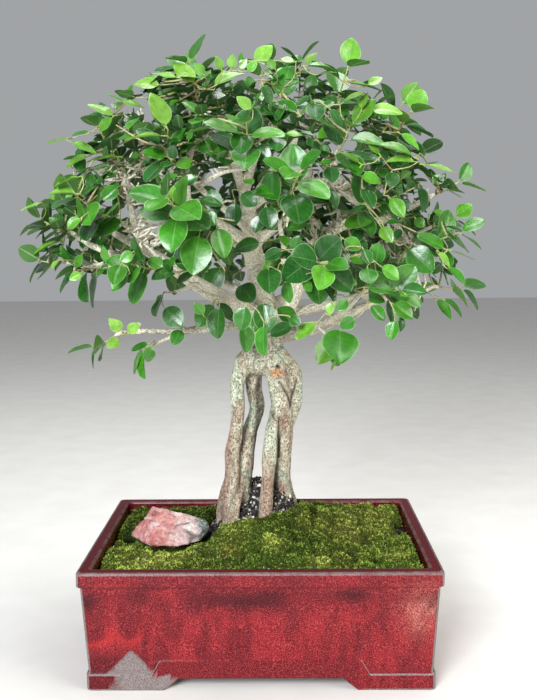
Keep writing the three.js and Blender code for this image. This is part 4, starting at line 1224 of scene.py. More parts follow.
def bark_material():
    """Pale bark: dry, matt and finely cracked, with painted shade in its furrows, and browner where it has
    rubbed
    """
    material, tree = new_material("furrowed_pale_bark")
    along = add(tree, "Attribute", {"attribute_name": "grain"}).outputs["Vector"]
    grain = add(tree, "Mapping", {"Scale": (1, 1, 1.7)}, {"Vector": along})
    marks = {name: add(tree, "Attribute", {"attribute_name": name}).outputs["Fac"]
             for name in ("furrow", "lichen", "rust", "inner", "orange", "pale")}
    flakes = add(tree, "TexNoise", {"Scale": 1 / 4, "Detail": 8.0, "Roughness": 0.78}, {"Vector": grain})
    specks = add(tree, "TexNoise", {"Scale": 1 / 1.5, "Detail": 4.0, "Roughness": 0.7}, {"Vector": grain})
    crack = add(tree, "ValToRGB", {"stops": [(0.37, "#b8b8b8"), (0.46, "#000000")]}, {0: specks})
    dust = add(tree, "MapRange", {
        "From Min": 0.36, "From Max": 0.64, "To Min": 0.6, "To Max": 1.14,
    }, {0: specks})
    rot = add(tree, "ValToRGB", {"stops": [(0.4, "#8a4a1e"), (0.6, "#e0953c")]}, {0: specks})
    colour = add(tree, "ValToRGB", {"stops": bark_colours["sound"]}, {0: flakes})
    # The inner colours are painted shade where the stems face each other, and the root scar's dark
    for name in ("lichen", "rust", "inner", "pale"):
        other = add(tree, "ValToRGB", {"stops": bark_colours[name]}, {0: flakes})
        colour = add(tree, "Mix", {"data_type": "RGBA"}, {0: marks[name], 6: colour, 7: other})
    colour = add(tree, "VectorMath", {"operation": "SCALE"}, {0: colour, "Scale": dust})
    sound = add(tree, "Math", {"operation": "MULTIPLY_ADD", 1: -0.75, 2: 1.0}, {0: marks["pale"]})
    crack = add(tree, "Math", {"operation": "MULTIPLY"}, {0: crack, 1: sound})
    # Painted shade: the furrows, the fine cracks, the strands' cracks and the knot's hole are darkened
    shaded_crevices = add(tree, "Math", {"operation": "MAXIMUM"}, {0: marks["furrow"], 1: crack})
    colour = add(tree, "Mix", {"data_type": "RGBA", 7: shade("#352a20")}, {0: shaded_crevices, 6: colour})
    colour = add(tree, "Mix", {"data_type": "RGBA"}, {0: marks["orange"], 6: colour, 7: rot})
    height = add(tree, "Math", {"operation": "SUBTRACT"}, {0: flakes, 1: shaded_crevices})
    relief = add(tree, "Bump", {"Strength": 1.0, "Distance": 1.7 * MM}, {"Height": height})
    bark = add(tree, "BsdfPrincipled", {"Roughness": 0.85, "IOR": 1.45}, {
        "Base Color": colour, "Normal": relief,
    })
    add(tree, "OutputMaterial", links={"Surface": bark})
    return material


# Lines thinner than this are tubes with so many sides
thin_wood, thin_sides = 2.9, 7
line_step = 3.0
grain_stretch = np.array([1, 1, 0.45])
# The inner colours are painted shade between the stems, and the dark of the root scar
bark_colours = {
    "sound": [(0.3, "#6c5f4e"), (0.42, "#9f927b"), (0.52, "#beb49d"), (0.66, "#d9d2be")],
    "lichen": [(0.34, "#7c8468"), (0.48, "#b8bfa4"), (0.62, "#e4e6d4")],
    "rust": [(0.3, "#6a5144"), (0.5, "#a88b78"), (0.7, "#ccb3a0")],
    "inner": [(0.3, "#231b13"), (0.7, "#5a4d3a")],
    "pale": [(0.3, "#e2d7b6"), (0.6, "#fffae6")],
}
stub_count = 300
# How far back the places on a line of sight are tried
sight_steps = np.arange(-140, 61, 6.0)
# Brushes of cut twigs as picture x and y, half sizes in pixels, and how many
twig_brushes = [
    (104, 176, 13, 8, 16), (143, 168, 20, 9, 24), (141, 118, 10, 4, 8), (136, 190, 8, 14, 14),
    (148, 226, 15, 17, 22), (337, 160, 9, 11, 10), (365, 250, 16, 7, 10), (405, 295, 16, 6, 10),
    (330, 225, 12, 18, 8), (225, 150, 20, 14, 12), (400, 255, 14, 14, 10), (300, 215, 16, 14, 10),
    (350, 185, 14, 14, 10), (280, 84, 40, 12, 6), (190, 104, 34, 14, 7),
]
# Painted-shade cracks between the front strands, as x and height: the front root's, and two that meet in a V
front_cracks = [
    [(20.4, 249), (19.3, 226), (18.4, 204)],
    [(20.4, 288), (25, 280), (29.8, 272.5), (32.4, 263.5)],
    [(38.3, 288), (36.1, 278), (33.8, 269), (32.6, 260)],
]
# What shows on the front only reaches so far back
front_depth = 12
# Spots at the front as x and height, half sizes, and a power that makes them round or square
root_scar = ((12.4, 252), (3.2, 8), 2)
sound_strand = ((33, 283), (12, 24), 2)
pink_bark = ((25, 244), (9, 16), 2)
knot_ring = ((19.5, 297), (10, 5), 4)
knot_at = np.array([18.8, -5.0, 304.3])
# Rotted orange spots round the knot, as x and height from its hole, size and strength
rot_spots = [(-2.4, -6.4, 3.4, 0.9), (3.5, -5.4, 1.8, 0.5), (10.5, 12, 2.4, 0.7), (9.5, 1.5, 1.7, 0.5)]
stems_middle = np.array([-2.0, 14.0])
# What the thick wood's marks are on the thin wood and the cut twigs
thin_marks = {"furrow": 0.0, "lichen": 0.3, "rust": 0.2, "inner": 0.0, "orange": 0.0, "pale": 0.85}
wood_lines = [curve_through(points, line_step) for points in [*stems, *flares, *trunk, *limbs.values()]]
wood_places = np.concatenate([
    curve_through(points, 6)[0] for points in [*trunk[1:], *limbs.values(), *spurs.values(), *branchlets]
])


def in_space(x, y, depth):
    """The place so far back on the line of sight through a place in the picture"""
    right = picture_right * (x - photo_size[0] / 2) / focal_pixels
    down = picture_up * (y - photo_size[1] / 2) / focal_pixels
    way = picture_ahead + right - down
    return camera_at + way * (depth - camera_at[1]) / way[1]


def front_place(x, y, carriers, reach):
    """The frontmost place behind a place in the picture that wood can reach, and the wood that reaches it"""
    places = np.array([in_space(x, y, depth) for depth in sight_steps])
    apart = np.linalg.norm(places[:, None] - carriers[None], axis=2)
    nearest = apart.min(axis=1)
    k = int(np.argmax(nearest < reach)) if (nearest < reach).any() else int(nearest.argmin())
    return places[k], carriers[apart[k].argmin()]


def pruned_twigs():
    """Cut twigs: short stubs all over the crown's wood, and brushes where the photograph shows them"""
    lines = []
    places = wood_places[wood_places[:, 2] > 395]
    for k in draw.choice(len(places), stub_count):
        end = places[k] + unit(draw.normal(0, 1, 3) + np.array([0, -0.4, 0.5])) * draw.uniform(5, 17)
        lines.append((places[k], end))
    for x, y, half_x, half_y, count in twig_brushes:
        for _ in range(count):
            at_x, at_y = x + half_x * draw.uniform(-1, 1), y + half_y * draw.uniform(-1, 1)
            end, start = front_place(at_x, at_y, places, 16)
            lines.append((start, end + draw.normal(0, 5, 3)))
            side = end + unit(draw.normal(0, 1, 3) + np.array([0, -0.3, 0.3])) * draw.uniform(5, 12)
            lines.append(((start + end) / 2, side))
    stubs = []
    for start, end in lines:
        length = np.linalg.norm(end - start)
        middle = (start + end) / 2 + draw.normal(0, 0.12, 3) * length
        stubs.append((np.array([start, middle, end]), np.array([1.6, 1.3, 0.95])))
    return tubes(stubs, 4)


def thick_wood():
    """The thick part of every line, fused into one skin"""
    lines = []
    for k, (line, radii) in enumerate(wood_lines):
        thin = radii < thin_wood
        last = int(np.argmax(thin)) if thin.any() and k >= len(stems + flares) else len(radii)
        if last > 3:
            run = np.arange(len(radii)) * line_step
            swell = 1 + 0.09 * lumps(np.stack([run, 0 * radii + 40 * k, 0 * radii], axis=1), 16, 71)
            lines.append((line[:last], (radii * swell)[:last]))
    points, faces = tubes(lines, 14)
    wood = make_piece("fused", points, faces, [])
    fuse = wood.modifiers.new("fuse", "REMESH")
    fuse.mode = "VOXEL"
    fuse.voxel_size = 1.78 * MM
    smooth = wood.modifiers.new("smooth", "SMOOTH")
    smooth.factor = 0.5
    smooth.iterations = 5
    settle(wood)
    count = len(wood.data.vertices)
    fused = np.empty(count * 3)
    wood.data.vertices.foreach_get("co", fused)
    normals = np.empty(count * 3, np.float32)
    wood.data.vertices.foreach_get("normal", normals)
    skin = [list(face.vertices) for face in wood.data.polygons]
    bpy.data.objects.remove(wood)
    return fused.reshape(-1, 3) / MM, normals.reshape(-1, 3).astype(float), skin


def search_tree(places):
    """A tree that finds the nearest of these places to another"""
    tree = kdtree.KDTree(len(places))
    for i, place in enumerate(places):
        tree.insert(place, i)
    tree.balance()
    return tree


def bark_grain(points):
    """Places measured round and along the nearest line, so that the bark's pattern runs with the wood"""
    parts = [
        (line, *square_ways(line), np.arange(len(line)) * line_step + 400 * k, radii)
        for k, (line, radii) in enumerate(wood_lines)
    ]
    places, sides, uprights, along, widths = (np.concatenate(part) for part in zip(*parts))
    tree = search_tree(places)
    near = np.array([tree.find(place)[1] for place in points])
    away = points - places[near]
    ahead = np.cross(sides[near], uprights[near])
    across = (away * sides[near]).sum(1)
    over = (away * uprights[near]).sum(1)
    down = along[near] + (away * ahead).sum(1)
    return np.stack([across, over, down], axis=1), widths[near]


def flat_distance(x, z, line):
    """How far each place lies from a line of x and height pairs, seen from the front"""
    best = np.full(len(x), np.inf)
    for (x0, z0), (x1, z1) in zip(line, line[1:]):
        run, rise = x1 - x0, z1 - z0
        share = np.clip(((x - x0) * run + (z - z0) * rise) / (run ** 2 + rise ** 2), 0, 1)
        best = np.minimum(best, np.hypot(x - x0 - share * run, z - z0 - share * rise))
    return best


def spot(x, z, middle, half, power):
    """A soft spot seen from the front, with 1 in its middle"""
    return np.exp(-((x - middle[0]) / half[0]) ** power - ((z - middle[1]) / half[1]) ** power)


def press_bark(points, normals, grain, width):
    """The wood's skin pushed in and out, with its furrows, cracks, scar and distance from the knot"""
    x, y, z = points.T
    stretched = grain * grain_stretch
    long_grain = grain * np.array([1, 1, 0.13])
    furrow = 1 - ramp(np.abs(lumps(long_grain, 4.5, 81)), 0.02, 0.1)
    furrow = furrow * ramp(lumps(long_grain * [1, 1, 0.6], 11, 82), 0.0, 0.5)
    push = 0.11 * width * lumps(stretched, 9, 83) + 0.35 * lumps(stretched, 2.8, 84)
    push = push - 1.3 * furrow * ramp(width, 3, 8)
    # The knot at the shoulder stands out round a rotted hole
    knot = np.linalg.norm((points - knot_at) / [1, 2.2, 1], axis=1)
    push = push + 2.2 * np.exp(-(knot / 9) ** 2) - 6.5 * np.exp(-(knot / 2.6) ** 4) * (y < front_depth)
    # The strands part along cracks that are darkened with painted shade, and a dead root left a dark scar
    apart = np.min([flat_distance(x, z, line) for line in front_cracks], axis=0)
    crack = np.exp(-(apart / 1.25) ** 2) * (y < 8)
    scar = spot(x, z, *root_scar) * (y < front_depth)
    push = push - 1.8 * crack - 0.8 * scar
    return points + normals * push[:, None], furrow, crack, scar, knot


def bark_marks(before, points, normals, width, furrow, crack, scar, knot):
    """Where the bark is lichened, brown, rotted or pale, and its painted shade in furrows and between stems
    """
    x, y, z = before.T
    in_front = y < front_depth
    facing = unit(points[:, :2] - stems_middle)
    # Painted shade on the sides that the stems turn to each other
    inner = np.clip(-(facing * normals[:, :2]).sum(1) - 0.1, 0, 0.8)
    inner = inner * ramp(-z, -304, -280) * ramp(z, 118, 150)
    # Brown bark on the left stem's outer side, the front root, round the knot and scar, and at the foot
    left_side = ramp(-normals[:, 0] + 0.2 * lumps(points, 18, 88), 0.0, 0.6)
    left_side = left_side * ramp(-z, -262, -225) * (x < -20)
    front_root = ramp(-normals[:, 1], 0.1, 0.6) * ramp(-z, -205, -180) * (np.abs(x - 6) < 13) * (y < 4)
    pink = spot(x, z, *pink_bark) * in_front
    ring = spot(x, z, *knot_ring) * in_front
    foot = 0.5 * ramp(-z, -165, -145)
    rust = np.maximum.reduce([left_side, 0.9 * front_root, pink, 0.8 * ring, foot])
    patch = ramp(lumps(points * [1, 1, 0.5], 15, 85), 0.15, 0.6) * ramp(-z, -320, -250)
    rust = np.maximum(rust, 0.7 * patch * (1 - spot(x, z, *sound_strand)))
    lichen = ramp(lumps(points * [1, 1, 0.6], 13, 86), -0.35, 0.35) * (0.68 + 0.32 * ramp(z, 180, 250))
    hole = np.exp(-(knot / 3.0) ** 4) * in_front
    orange = np.max([
        strength * np.exp(-(np.hypot((x - knot_at[0] - over) / 1.3, z - knot_at[2] - up) / size) ** 2)
        for over, up, size, strength in rot_spots
    ], axis=0) * in_front
    # The furrow mark is painted shade in the furrows, the knot's hole and the cracks between strands
    return {
        "furrow": np.maximum.reduce([0.45 * furrow * ramp(width, 2, 6), hole, crack]),
        "lichen": lichen, "rust": rust, "inner": np.maximum(inner, 0.85 * scar),
        "orange": orange, "pale": 0.85 * ramp(z, 315, 380),
    }


def thin_tubes():
    """The thin wood as tubes that start inside the thick wood, and its grain"""
    thin = []
    for line, radii in wood_lines[len(stems + flares + trunk):]:
        if (radii < thin_wood).any():
            start = max(0, int(np.argmax(radii < thin_wood)) - 2)
            thin.append((line[start:], radii[start:] * 0.97))
    thin += [curve_through(points, 4) for points in [*spurs.values(), *branchlets]]
    points, faces = tubes(thin, thin_sides)
    points = points + 0.3 * lumps(points, 4, 87)[:, None] * np.array([0.6, 0.6, 0.5])
    turned = np.arange(thin_sides) * 0.9
    grain = [
        np.stack([
            np.tile(np.cos(turned) * 2, len(line)), np.tile(np.sin(turned) * 2, len(line)),
            np.repeat(np.arange(len(line)) * 4.0 + 90 * k, thin_sides),
        ], axis=1)
        for k, (line, _) in enumerate(thin)
    ]
    return points, faces, np.concatenate(grain)


def build_wood():
    """Thick wood fused and pressed into bark, with the thin wood and the cut twigs that start inside it"""
    before, normals, faces = thick_wood()
    grain, width = bark_grain(before)
    points, *pressed = press_bark(before, normals, grain, width)
    marks = bark_marks(before, points, normals, width, *pressed)
    thin_points, thin_faces, thin_grain = thin_tubes()
    stub_points, stub_faces = pruned_twigs()
    more = len(thin_points) + len(stub_points)
    for name, value in thin_marks.items():
        marks[name] = np.concatenate([marks[name], np.full(more, value)])
    faces += moved_on(thin_faces, len(points)) + moved_on(stub_faces, len(points) + len(thin_points))
    wood = make_piece("living_wood", np.concatenate([points, thin_points, stub_points]), faces,
                      [bark_material()], marks)
    pattern = wood.data.attributes.new("grain", "FLOAT_VECTOR", "POINT")
    vectors = np.concatenate([grain * grain_stretch, thin_grain, stub_points])
    pattern.data.foreach_set("vector", vectors.astype(np.float32).ravel())
    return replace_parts(wood, "trunk")


build_wood()


# Leaves
# Opposite, broadly ovate leaves on short stalks: dark and glossy when mature, lime green while young. Each
# spray keeps the twig and the leaves of the plain one, and further shoots fill the crown between them.
draws = 20251
spots = []
# How far apart the places on two sprays' leaves keep
leaf_reach = 4.4


def between(low, high):
    """The same draws on every run, as the sprays' leaves were drawn"""
    global draws
    draws = draws * 48271 % 2147483647
    return low + (high - low) * draws / 2147483647


def keep_spots(places, reach, owner):
    """Notes places that other sprays' leaves keep clear of"""
    places = np.atleast_2d(places)
    spots.append(np.column_stack([places, np.broadcast_to(reach, len(places)), np.full(len(places), owner)]))


def line_spots(points, owner):
    """Notes a limb or a twig, every five millimetres"""
    line = np.array(points, float)
    for near, far in zip(line[:-1], line[1:]):
        count = math.ceil(np.linalg.norm((far - near)[:3]) / 5)
        step = near + (far - near) * (np.arange(count + 1) / count)[:, None]
        keep_spots(step[:, :3], step[:, 3], owner)


def leaf_spots(base, along, face, length, width):
    """Nine places on a blade"""
    across = np.cross(face, along)
    part = np.array([0.2, 0.4, 0.6, 0.8, 1, 0.4, 0.4, 0.72, 0.72])[:, None]
    side = np.array([0, 0, 0, 0, 0, 0.4, -0.4, 0.3, -0.3])[:, None]
    return base + along * part * length + across * side * width - face * 3.4 * part ** 2


def is_clear(own, owner):
    """Whether a blade's places keep clear of everything noted before it"""
    known = np.concatenate(spots)
    apart = np.linalg.norm(own[:, None] - known[None, :, :3], axis=2)
    same = known[:, 4] == owner
    fits = np.where(same, (known[:, 3] < leaf_reach) | (apart > leaf_reach), apart > leaf_reach + known[:, 3])
    return fits.all()


def twig_line(seat, heading, length):
    """A shoot's line from its seat, which bends up towards the light"""
    tip = seat + heading * length + straight_up * 0.12 * length
    return [[*(seat + heading * 0.3), 1.5], [*(seat + heading * length / 2), 1.2], [*tip, 0.9]]


def leaf_ways(heading, angle, side, spread, droop, towards):
    """The way along a leaf on one side of a shoot, and the way its face looks"""
    level = np.array([-heading[1], heading[0], 0.0])
    sideways = unit(level) if np.linalg.norm(level) > 0.1 else np.array([1.0, 0.0, 0.0])
    upright = np.cross(heading, sideways)
    away = (math.cos(angle) * sideways + math.sin(angle) * upright) * side
    along = unit(heading * math.cos(spread) + away * math.sin(spread) - straight_up * droop)
    return along, unit(towards - along * towards.dot(along))


def pair_of_leaves(shoot, line, k, owner):
    """The two leaves of a shoot's pair, each turned until it is clear"""
    _, heading, _, pairs, droop, swell = shoot
    end_pair = k == pairs - 1 and pairs > 1
    part = (k + 1) / pairs
    near, middle, tip = (np.array(place[:3]) for place in line)
    if part < 0.5:
        base = near + (middle - near) * 2 * part
    else:
        base = middle + (tip - middle) * (2 * part - 1 - 0.03)
    angle = k * 1.35 + between(-0.35, 0.35)
    towards = heading * 0.7 + straight_up * 0.5
    found = []
    for side in (-1, 1):
        spread = between(0.5, 0.8) if end_pair else between(0.95, 1.25)
        size = swell * (0.8 if end_pair else 1) * between(0.86, 1.1)
        for turned in (0, 0.4, -0.4, 0.8, -0.8):
            along, face = leaf_ways(heading, angle + turned, side, spread, droop, towards)
            blade = (base, along, face, leaf_length * size, leaf_width * size)
            own = leaf_spots(*blade)
            if is_clear(own, owner):
                keep_spots(own, leaf_reach, owner)
                found.append(blade)
                break
    return found


def upper_material():
    """The leaf's upper skin: waxy and glossy, dark when mature and lime when young, with a paler midrib"""
    material, tree = new_material("waxy_upper_leaf")
    marks = {name: add(tree, "Attribute", {"attribute_name": name}).outputs["Fac"]
             for name in ("along", "across", "age", "tone")}
    green = add(tree, "ValToRGB", {"stops": [
        (0.0, "#255f22"), (0.3, "#39841a"), (0.6, "#5aa026"), (1.0, "#86b845"),
    ]}, {0: marks["age"]})
    side = add(tree, "Math", {"operation": "ABSOLUTE"}, {0: marks["across"]})
    slant = add(tree, "Math", {"operation": "MULTIPLY_ADD", 1: -0.3}, {0: side, 2: marks["along"]})
    ribs = add(tree, "Math", {"operation": "MULTIPLY", 1: 46.0}, {0: slant})
    wave = add(tree, "Math", {"operation": "SINE"}, {0: ribs})
    vein = add(tree, "MapRange", {"From Min": 0.86, "From Max": 1.0, "To Max": 0.07}, {0: wave})
    midrib = add(tree, "MapRange", {"From Min": 0.055, "From Max": 0.0, "To Max": 0.28}, {0: side})
    # The pale margin is partly the blade's own pale edge, partly a painted highlight for the sheen on its
    # edges
    margin = add(tree, "MapRange", {"From Min": 0.9, "From Max": 0.98, "To Max": 0.6}, {0: side})
    lines = add(tree, "Math", {"operation": "MAXIMUM"}, {0: vein, 1: midrib})
    lines = add(tree, "Math", {"operation": "MAXIMUM"}, {0: lines, 1: margin})
    veined = add(tree, "Mix", {"data_type": "RGBA", 7: shade("#a9c98a")}, {0: lines, 6: green})
    where = add(tree, "TexCoord").outputs["Object"]
    cloud = add(tree, "TexNoise", {"Scale": METRE / 7, "Detail": 4.0, "Roughness": 0.6}, {"Vector": where})
    light = add(tree, "MapRange", {"To Min": 0.66, "To Max": 1.18}, {0: marks["tone"]})
    mottle = add(tree, "MapRange", {"From Min": 0.3, "From Max": 0.7, "To Min": 0.72, "To Max": 1.24}, {
        0: cloud,
    })
    both = add(tree, "Math", {"operation": "MULTIPLY"}, {0: light, 1: mottle})
    toned = add(tree, "VectorMath", {"operation": "SCALE"}, {0: veined, "Scale": both})
    ripple = add(tree, "Math", {"operation": "MULTIPLY_ADD", 1: -3.0}, {0: cloud, 2: lines})
    relief = add(tree, "Bump", {"Strength": 0.4, "Distance": 0.5 * MM, "invert": True}, {"Height": ripple})
    skin = add(tree, "BsdfPrincipled", {
        "Roughness": 0.27, "IOR": 1.5, "Coat Weight": 0.5, "Coat Roughness": 0.25,
    }, {"Base Color": toned, "Normal": relief})
    through = add(tree, "BsdfTranslucent", {}, {"Color": toned})
    leaf = add(tree, "MixShader", {0: 0.25}, {1: skin, 2: through})
    add(tree, "OutputMaterial", links={"Surface": leaf})
    return material


def under_material():
    """The leaf's lower skin: matt and pale, a little bluish, with raised veins"""
    material, tree = new_material("matt_leaf_underside")
    marks = {name: add(tree, "Attribute", {"attribute_name": name}).outputs["Fac"]
             for name in ("across", "age", "tone")}
    green = add(tree, "ValToRGB", {"stops": [
        (0.0, "#446f3c"), (0.6, "#64983f"), (1.0, "#94c652"),
    ]}, {0: marks["age"]})
    side = add(tree, "Math", {"operation": "ABSOLUTE"}, {0: marks["across"]})
    midrib = add(tree, "MapRange", {"From Min": 0.1, "From Max": 0.02, "To Max": 0.5}, {0: side})
    veined = add(tree, "Mix", {"data_type": "RGBA", 7: shade("#c5d8a4")}, {0: midrib, 6: green})
    light = add(tree, "MapRange", {"To Min": 0.8, "To Max": 1.15}, {0: marks["tone"]})
    toned = add(tree, "VectorMath", {"operation": "SCALE"}, {0: veined, "Scale": light})
    skin = add(tree, "BsdfPrincipled", {"Roughness": 0.55, "IOR": 1.45}, {"Base Color": toned})
    through = add(tree, "BsdfTranslucent", {}, {"Color": toned})
    leaf = add(tree, "MixShader", {0: 0.25}, {1: skin, 2: through})
    add(tree, "OutputMaterial", links={"Surface": leaf})
    return material


def twig_material():
    """Twigs: thin beige bark, on some still orange-brown, and green stalks"""
    material, tree = new_material("young_twig_bark")
    where = add(tree, "TexCoord").outputs["Object"]
    fine = add(tree, "TexNoise", {"Scale": METRE / 2.5, "Detail": 4.0}, {"Vector": where})
    marks = {name: add(tree, "Attribute", {"attribute_name": name}).outputs["Fac"]
             for name in ("age", "tone")}
    beige = add(tree, "ValToRGB", {"stops": [(0.3, "#7b6a4e"), (0.7, "#bfb18e")]}, {0: fine})
    rusty = add(tree, "ValToRGB", {"stops": [(0.3, "#6f4a2a"), (0.7, "#a98052")]}, {0: fine})
    bark = add(tree, "Mix", {"data_type": "RGBA"}, {0: marks["tone"], 6: beige, 7: rusty})
    colour = add(tree, "Mix", {"data_type": "RGBA", 7: shade("#86a844")}, {0: marks["age"], 6: bark})
    twig = add(tree, "BsdfPrincipled", {"Roughness": 0.6, "IOR": 1.45}, {"Base Color": colour})
    add(tree, "OutputMaterial", links={"Surface": twig})
    return material


leaf_skins = [upper_material(), under_material(), twig_material()]
stalk_share = 0.14
# Shares of a leaf's length along its stalk, and the stalk's radii there
stalk_parts, stalk_radii = np.array([-0.02, 0.08, 0.17])[:, None], np.array([0.7, 0.55, 0.5])
stalk_sides, twig_sides = 3, 5


def blade_grid(fine):
    """Shares of a leaf's length and of its half width at which its blade has points"""
    along = (0, 0.07, 0.22, 0.45, 0.7, 0.9, 1)
    if fine:
        along = (0, 0.03, 0.09, 0.18, 0.3, 0.44, 0.58, 0.72, 0.84, 0.93, 0.98, 1)
    return stalk_share + (1 - stalk_share) * np.array(along), np.linspace(-1, 1, 7 if fine else 5)


def blade_widths(part, age):
    """How wide a blade is along its length: blunt when mature, pointed when young"""
    share = (part - stalk_share) / (1 - stalk_share)
    mature = np.clip(np.sin(math.pi * share ** 0.95), 0, 1) ** 0.56
    young = np.clip(np.sin(math.pi * share ** 0.8), 0, 1) ** 0.85
    return np.maximum(mature * (1 - age) + young * age, 0.05)


def blade_faces(rows, columns):
    """Faces of one blade: an upper and a lower sheet that share their rim"""
    upper = np.arange(rows * columns).reshape(rows, columns)
    lower = upper.copy()
    lower[1:-1, 1:-1] = rows * columns + np.arange((rows - 2) * (columns - 2)).reshape(rows - 2, columns - 2)
    faces = []
    for sheet, order in ((upper, 1), (lower, -1)):
        corners = [sheet[:-1, :-1], sheet[:-1, 1:], sheet[1:, 1:], sheet[1:, :-1]]
        faces.append(np.stack([c.ravel() for c in corners], axis=1)[:, ::order])
    return faces[0], faces[1]


def blade_points(leaves, stops, sides):
    """Points of every blade: curved back along its length and folded up along its midrib"""
    base, along, face = (np.array([leaf[k] for leaf in leaves])[:, None, None] for k in range(3))
    length, width, bend, fold, age = (
        np.array([leaf[k] for leaf in leaves])[:, None, None, None] for k in range(3, 8)
    )
    across = np.cross(face, along)
    part = stops[None, :, None, None]
    half = width / 2 * blade_widths(part, age)
    side = sides[None, None, :, None]
    wave = 0.025 * width * np.sin(8 * part + 40 * bend) * side
    rise = fold * np.abs(side) * half - bend * length * part ** 2 + wave
    sheet = base + along * part * length + across * side * half * np.cos(fold) + face * rise
    skin = 0.22 * face * (1 + 0 * part * side)
    upper = sheet.copy()
    upper[:, 1:-1, 1:-1] += skin[:, 1:-1, 1:-1]
    lower = sheet[:, 1:-1, 1:-1] - skin[:, 1:-1, 1:-1]
    return np.concatenate([upper.reshape(len(leaves), -1, 3), lower.reshape(len(leaves), -1, 3)], axis=1)


def build_foliage(name, leaves, twigs, fine=False):
    """One piece of foliage: blades with their stalks, and the twigs that carry them"""
    stops, sides = blade_grid(fine)
    upper_faces, lower_faces = blade_faces(len(stops), len(sides))
    points = blade_points(leaves, stops, sides)
    shape = points.shape[1]
    grid = np.stack(np.meshgrid(stops, sides, indexing="ij"), axis=-1)
    grid = np.concatenate([grid.reshape(-1, 2), grid[1:-1, 1:-1].reshape(-1, 2)])
    rim = np.zeros((len(stops), len(sides)), bool)
    rim[[0, -1]] = True
    rim[:, [0, -1]] = True
    rim = np.concatenate([rim.ravel(), np.zeros(shape - rim.size, bool)])
    faces = repeated(shape, upper_faces.tolist(), len(leaves))
    faces += repeated(shape, lower_faces.tolist(), len(leaves))
    skins = [0] * (len(upper_faces) * len(leaves)) + [1] * (len(lower_faces) * len(leaves))
    stalks = []
    for base, along, face, length, _, bend, *_ in leaves:
        line = base + along * stalk_parts * length - face * bend * length * stalk_parts ** 2
        stalks.append((line, stalk_radii))
    stalk_points, stalk_faces = tubes(stalks, stalk_sides)
    twig_points, twig_faces = tubes(twigs, twig_sides)
    blade_count, stalk_count = shape * len(leaves), len(stalk_points)
    faces += moved_on(stalk_faces, blade_count) + moved_on(twig_faces, blade_count + stalk_count)
    skins += [2] * (len(stalk_faces) + len(twig_faces))
    rest = stalk_count + len(twig_points)
    rusty = [np.full(twig_sides * len(line), float(draw.uniform() < 0.15)) for line, _ in twigs]
    fresh = [np.full(twig_sides * len(line), draw.uniform(0, 0.55)) for line, _ in twigs]
    age, tone = (np.array([leaf[k] for leaf in leaves]) for k in (7, 8))
    stalk_age = np.repeat(0.3 + 0.6 * age, stalk_count // len(leaves))
    marks = {
        "along": np.concatenate([np.tile(grid[:, 0], len(leaves)), np.zeros(rest)]),
        "across": np.concatenate([np.tile(grid[:, 1], len(leaves)), np.ones(rest)]),
        "age": np.concatenate([np.repeat(age, shape), stalk_age, *fresh]),
        "tone": np.concatenate([np.repeat(tone, shape), np.zeros(stalk_count), *rusty]),
    }
    piece = make_piece(name, np.concatenate([points.reshape(-1, 3), stalk_points, twig_points]), faces,
                       leaf_skins, marks, skins)
    on_rim = np.concatenate([np.tile(rim, len(leaves)), np.zeros(rest, bool)])
    edges = np.empty(len(piece.data.edges) * 2, np.int32)
    piece.data.edges.foreach_get("vertices", edges)
    sharp = piece.data.attributes.new("sharp_edge", "BOOLEAN", "EDGE")
    sharp.data.foreach_set("value", on_rim[edges.reshape(-1, 2)].all(axis=1))
    return piece


def leaf_age(place):
    """Young towards the crown's outline and its top, mature inside and below"""
    away = place - crown_middle
    out = np.linalg.norm(away / crown_radii(away[2] > 0))
    high = ramp(place[2], 430, 600)
    age = 0.14 + 0.52 * ramp(out, 0.82, 1.05) * (0.45 + 0.55 * high) + draw.normal(0, 0.18)
    return float(np.clip(age, 0, 0.68))


def dressed_leaf(blade, age=None):
    """A blade with its own bend, fold, age and tone"""
    base, along, _, length, _ = blade
    bend, fold = 0.1 + draw.normal(0, 0.03), draw.uniform(0.06, 0.36)
    if age is None:
        age = leaf_age(base + along * length / 2)
    return (*blade, bend, fold, age, draw.uniform(0, 1))


for points in [*stems, *trunk, *limbs.values(), *spurs.values(), *branchlets]:
    line_spots(points, -1)
spray_lines = [twig_line(seat, heading, length) for seat, heading, length, *_ in seats]
for i, line in enumerate(spray_lines):
    line_spots(line, i)
for i, shoot in enumerate(seats):
    seat, _, _, pairs, *_ = shoot
    blades = [blade for k in range(pairs) for blade in pair_of_leaves(shoot, spray_lines[i], k, i)]
    line, radii = curve_through(spray_lines[i], 5)
    # Each leaf's age follows where it grows, and the sprays in front get the finer blade
    spray = build_foliage(f"leafy_spray_{i + 1:02d}", [dressed_leaf(blade) for blade in blades],
                          [(line, radii * 0.75)], fine=seat[1] < 10)
    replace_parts(spray, f"spray_{i + 1:02d}")


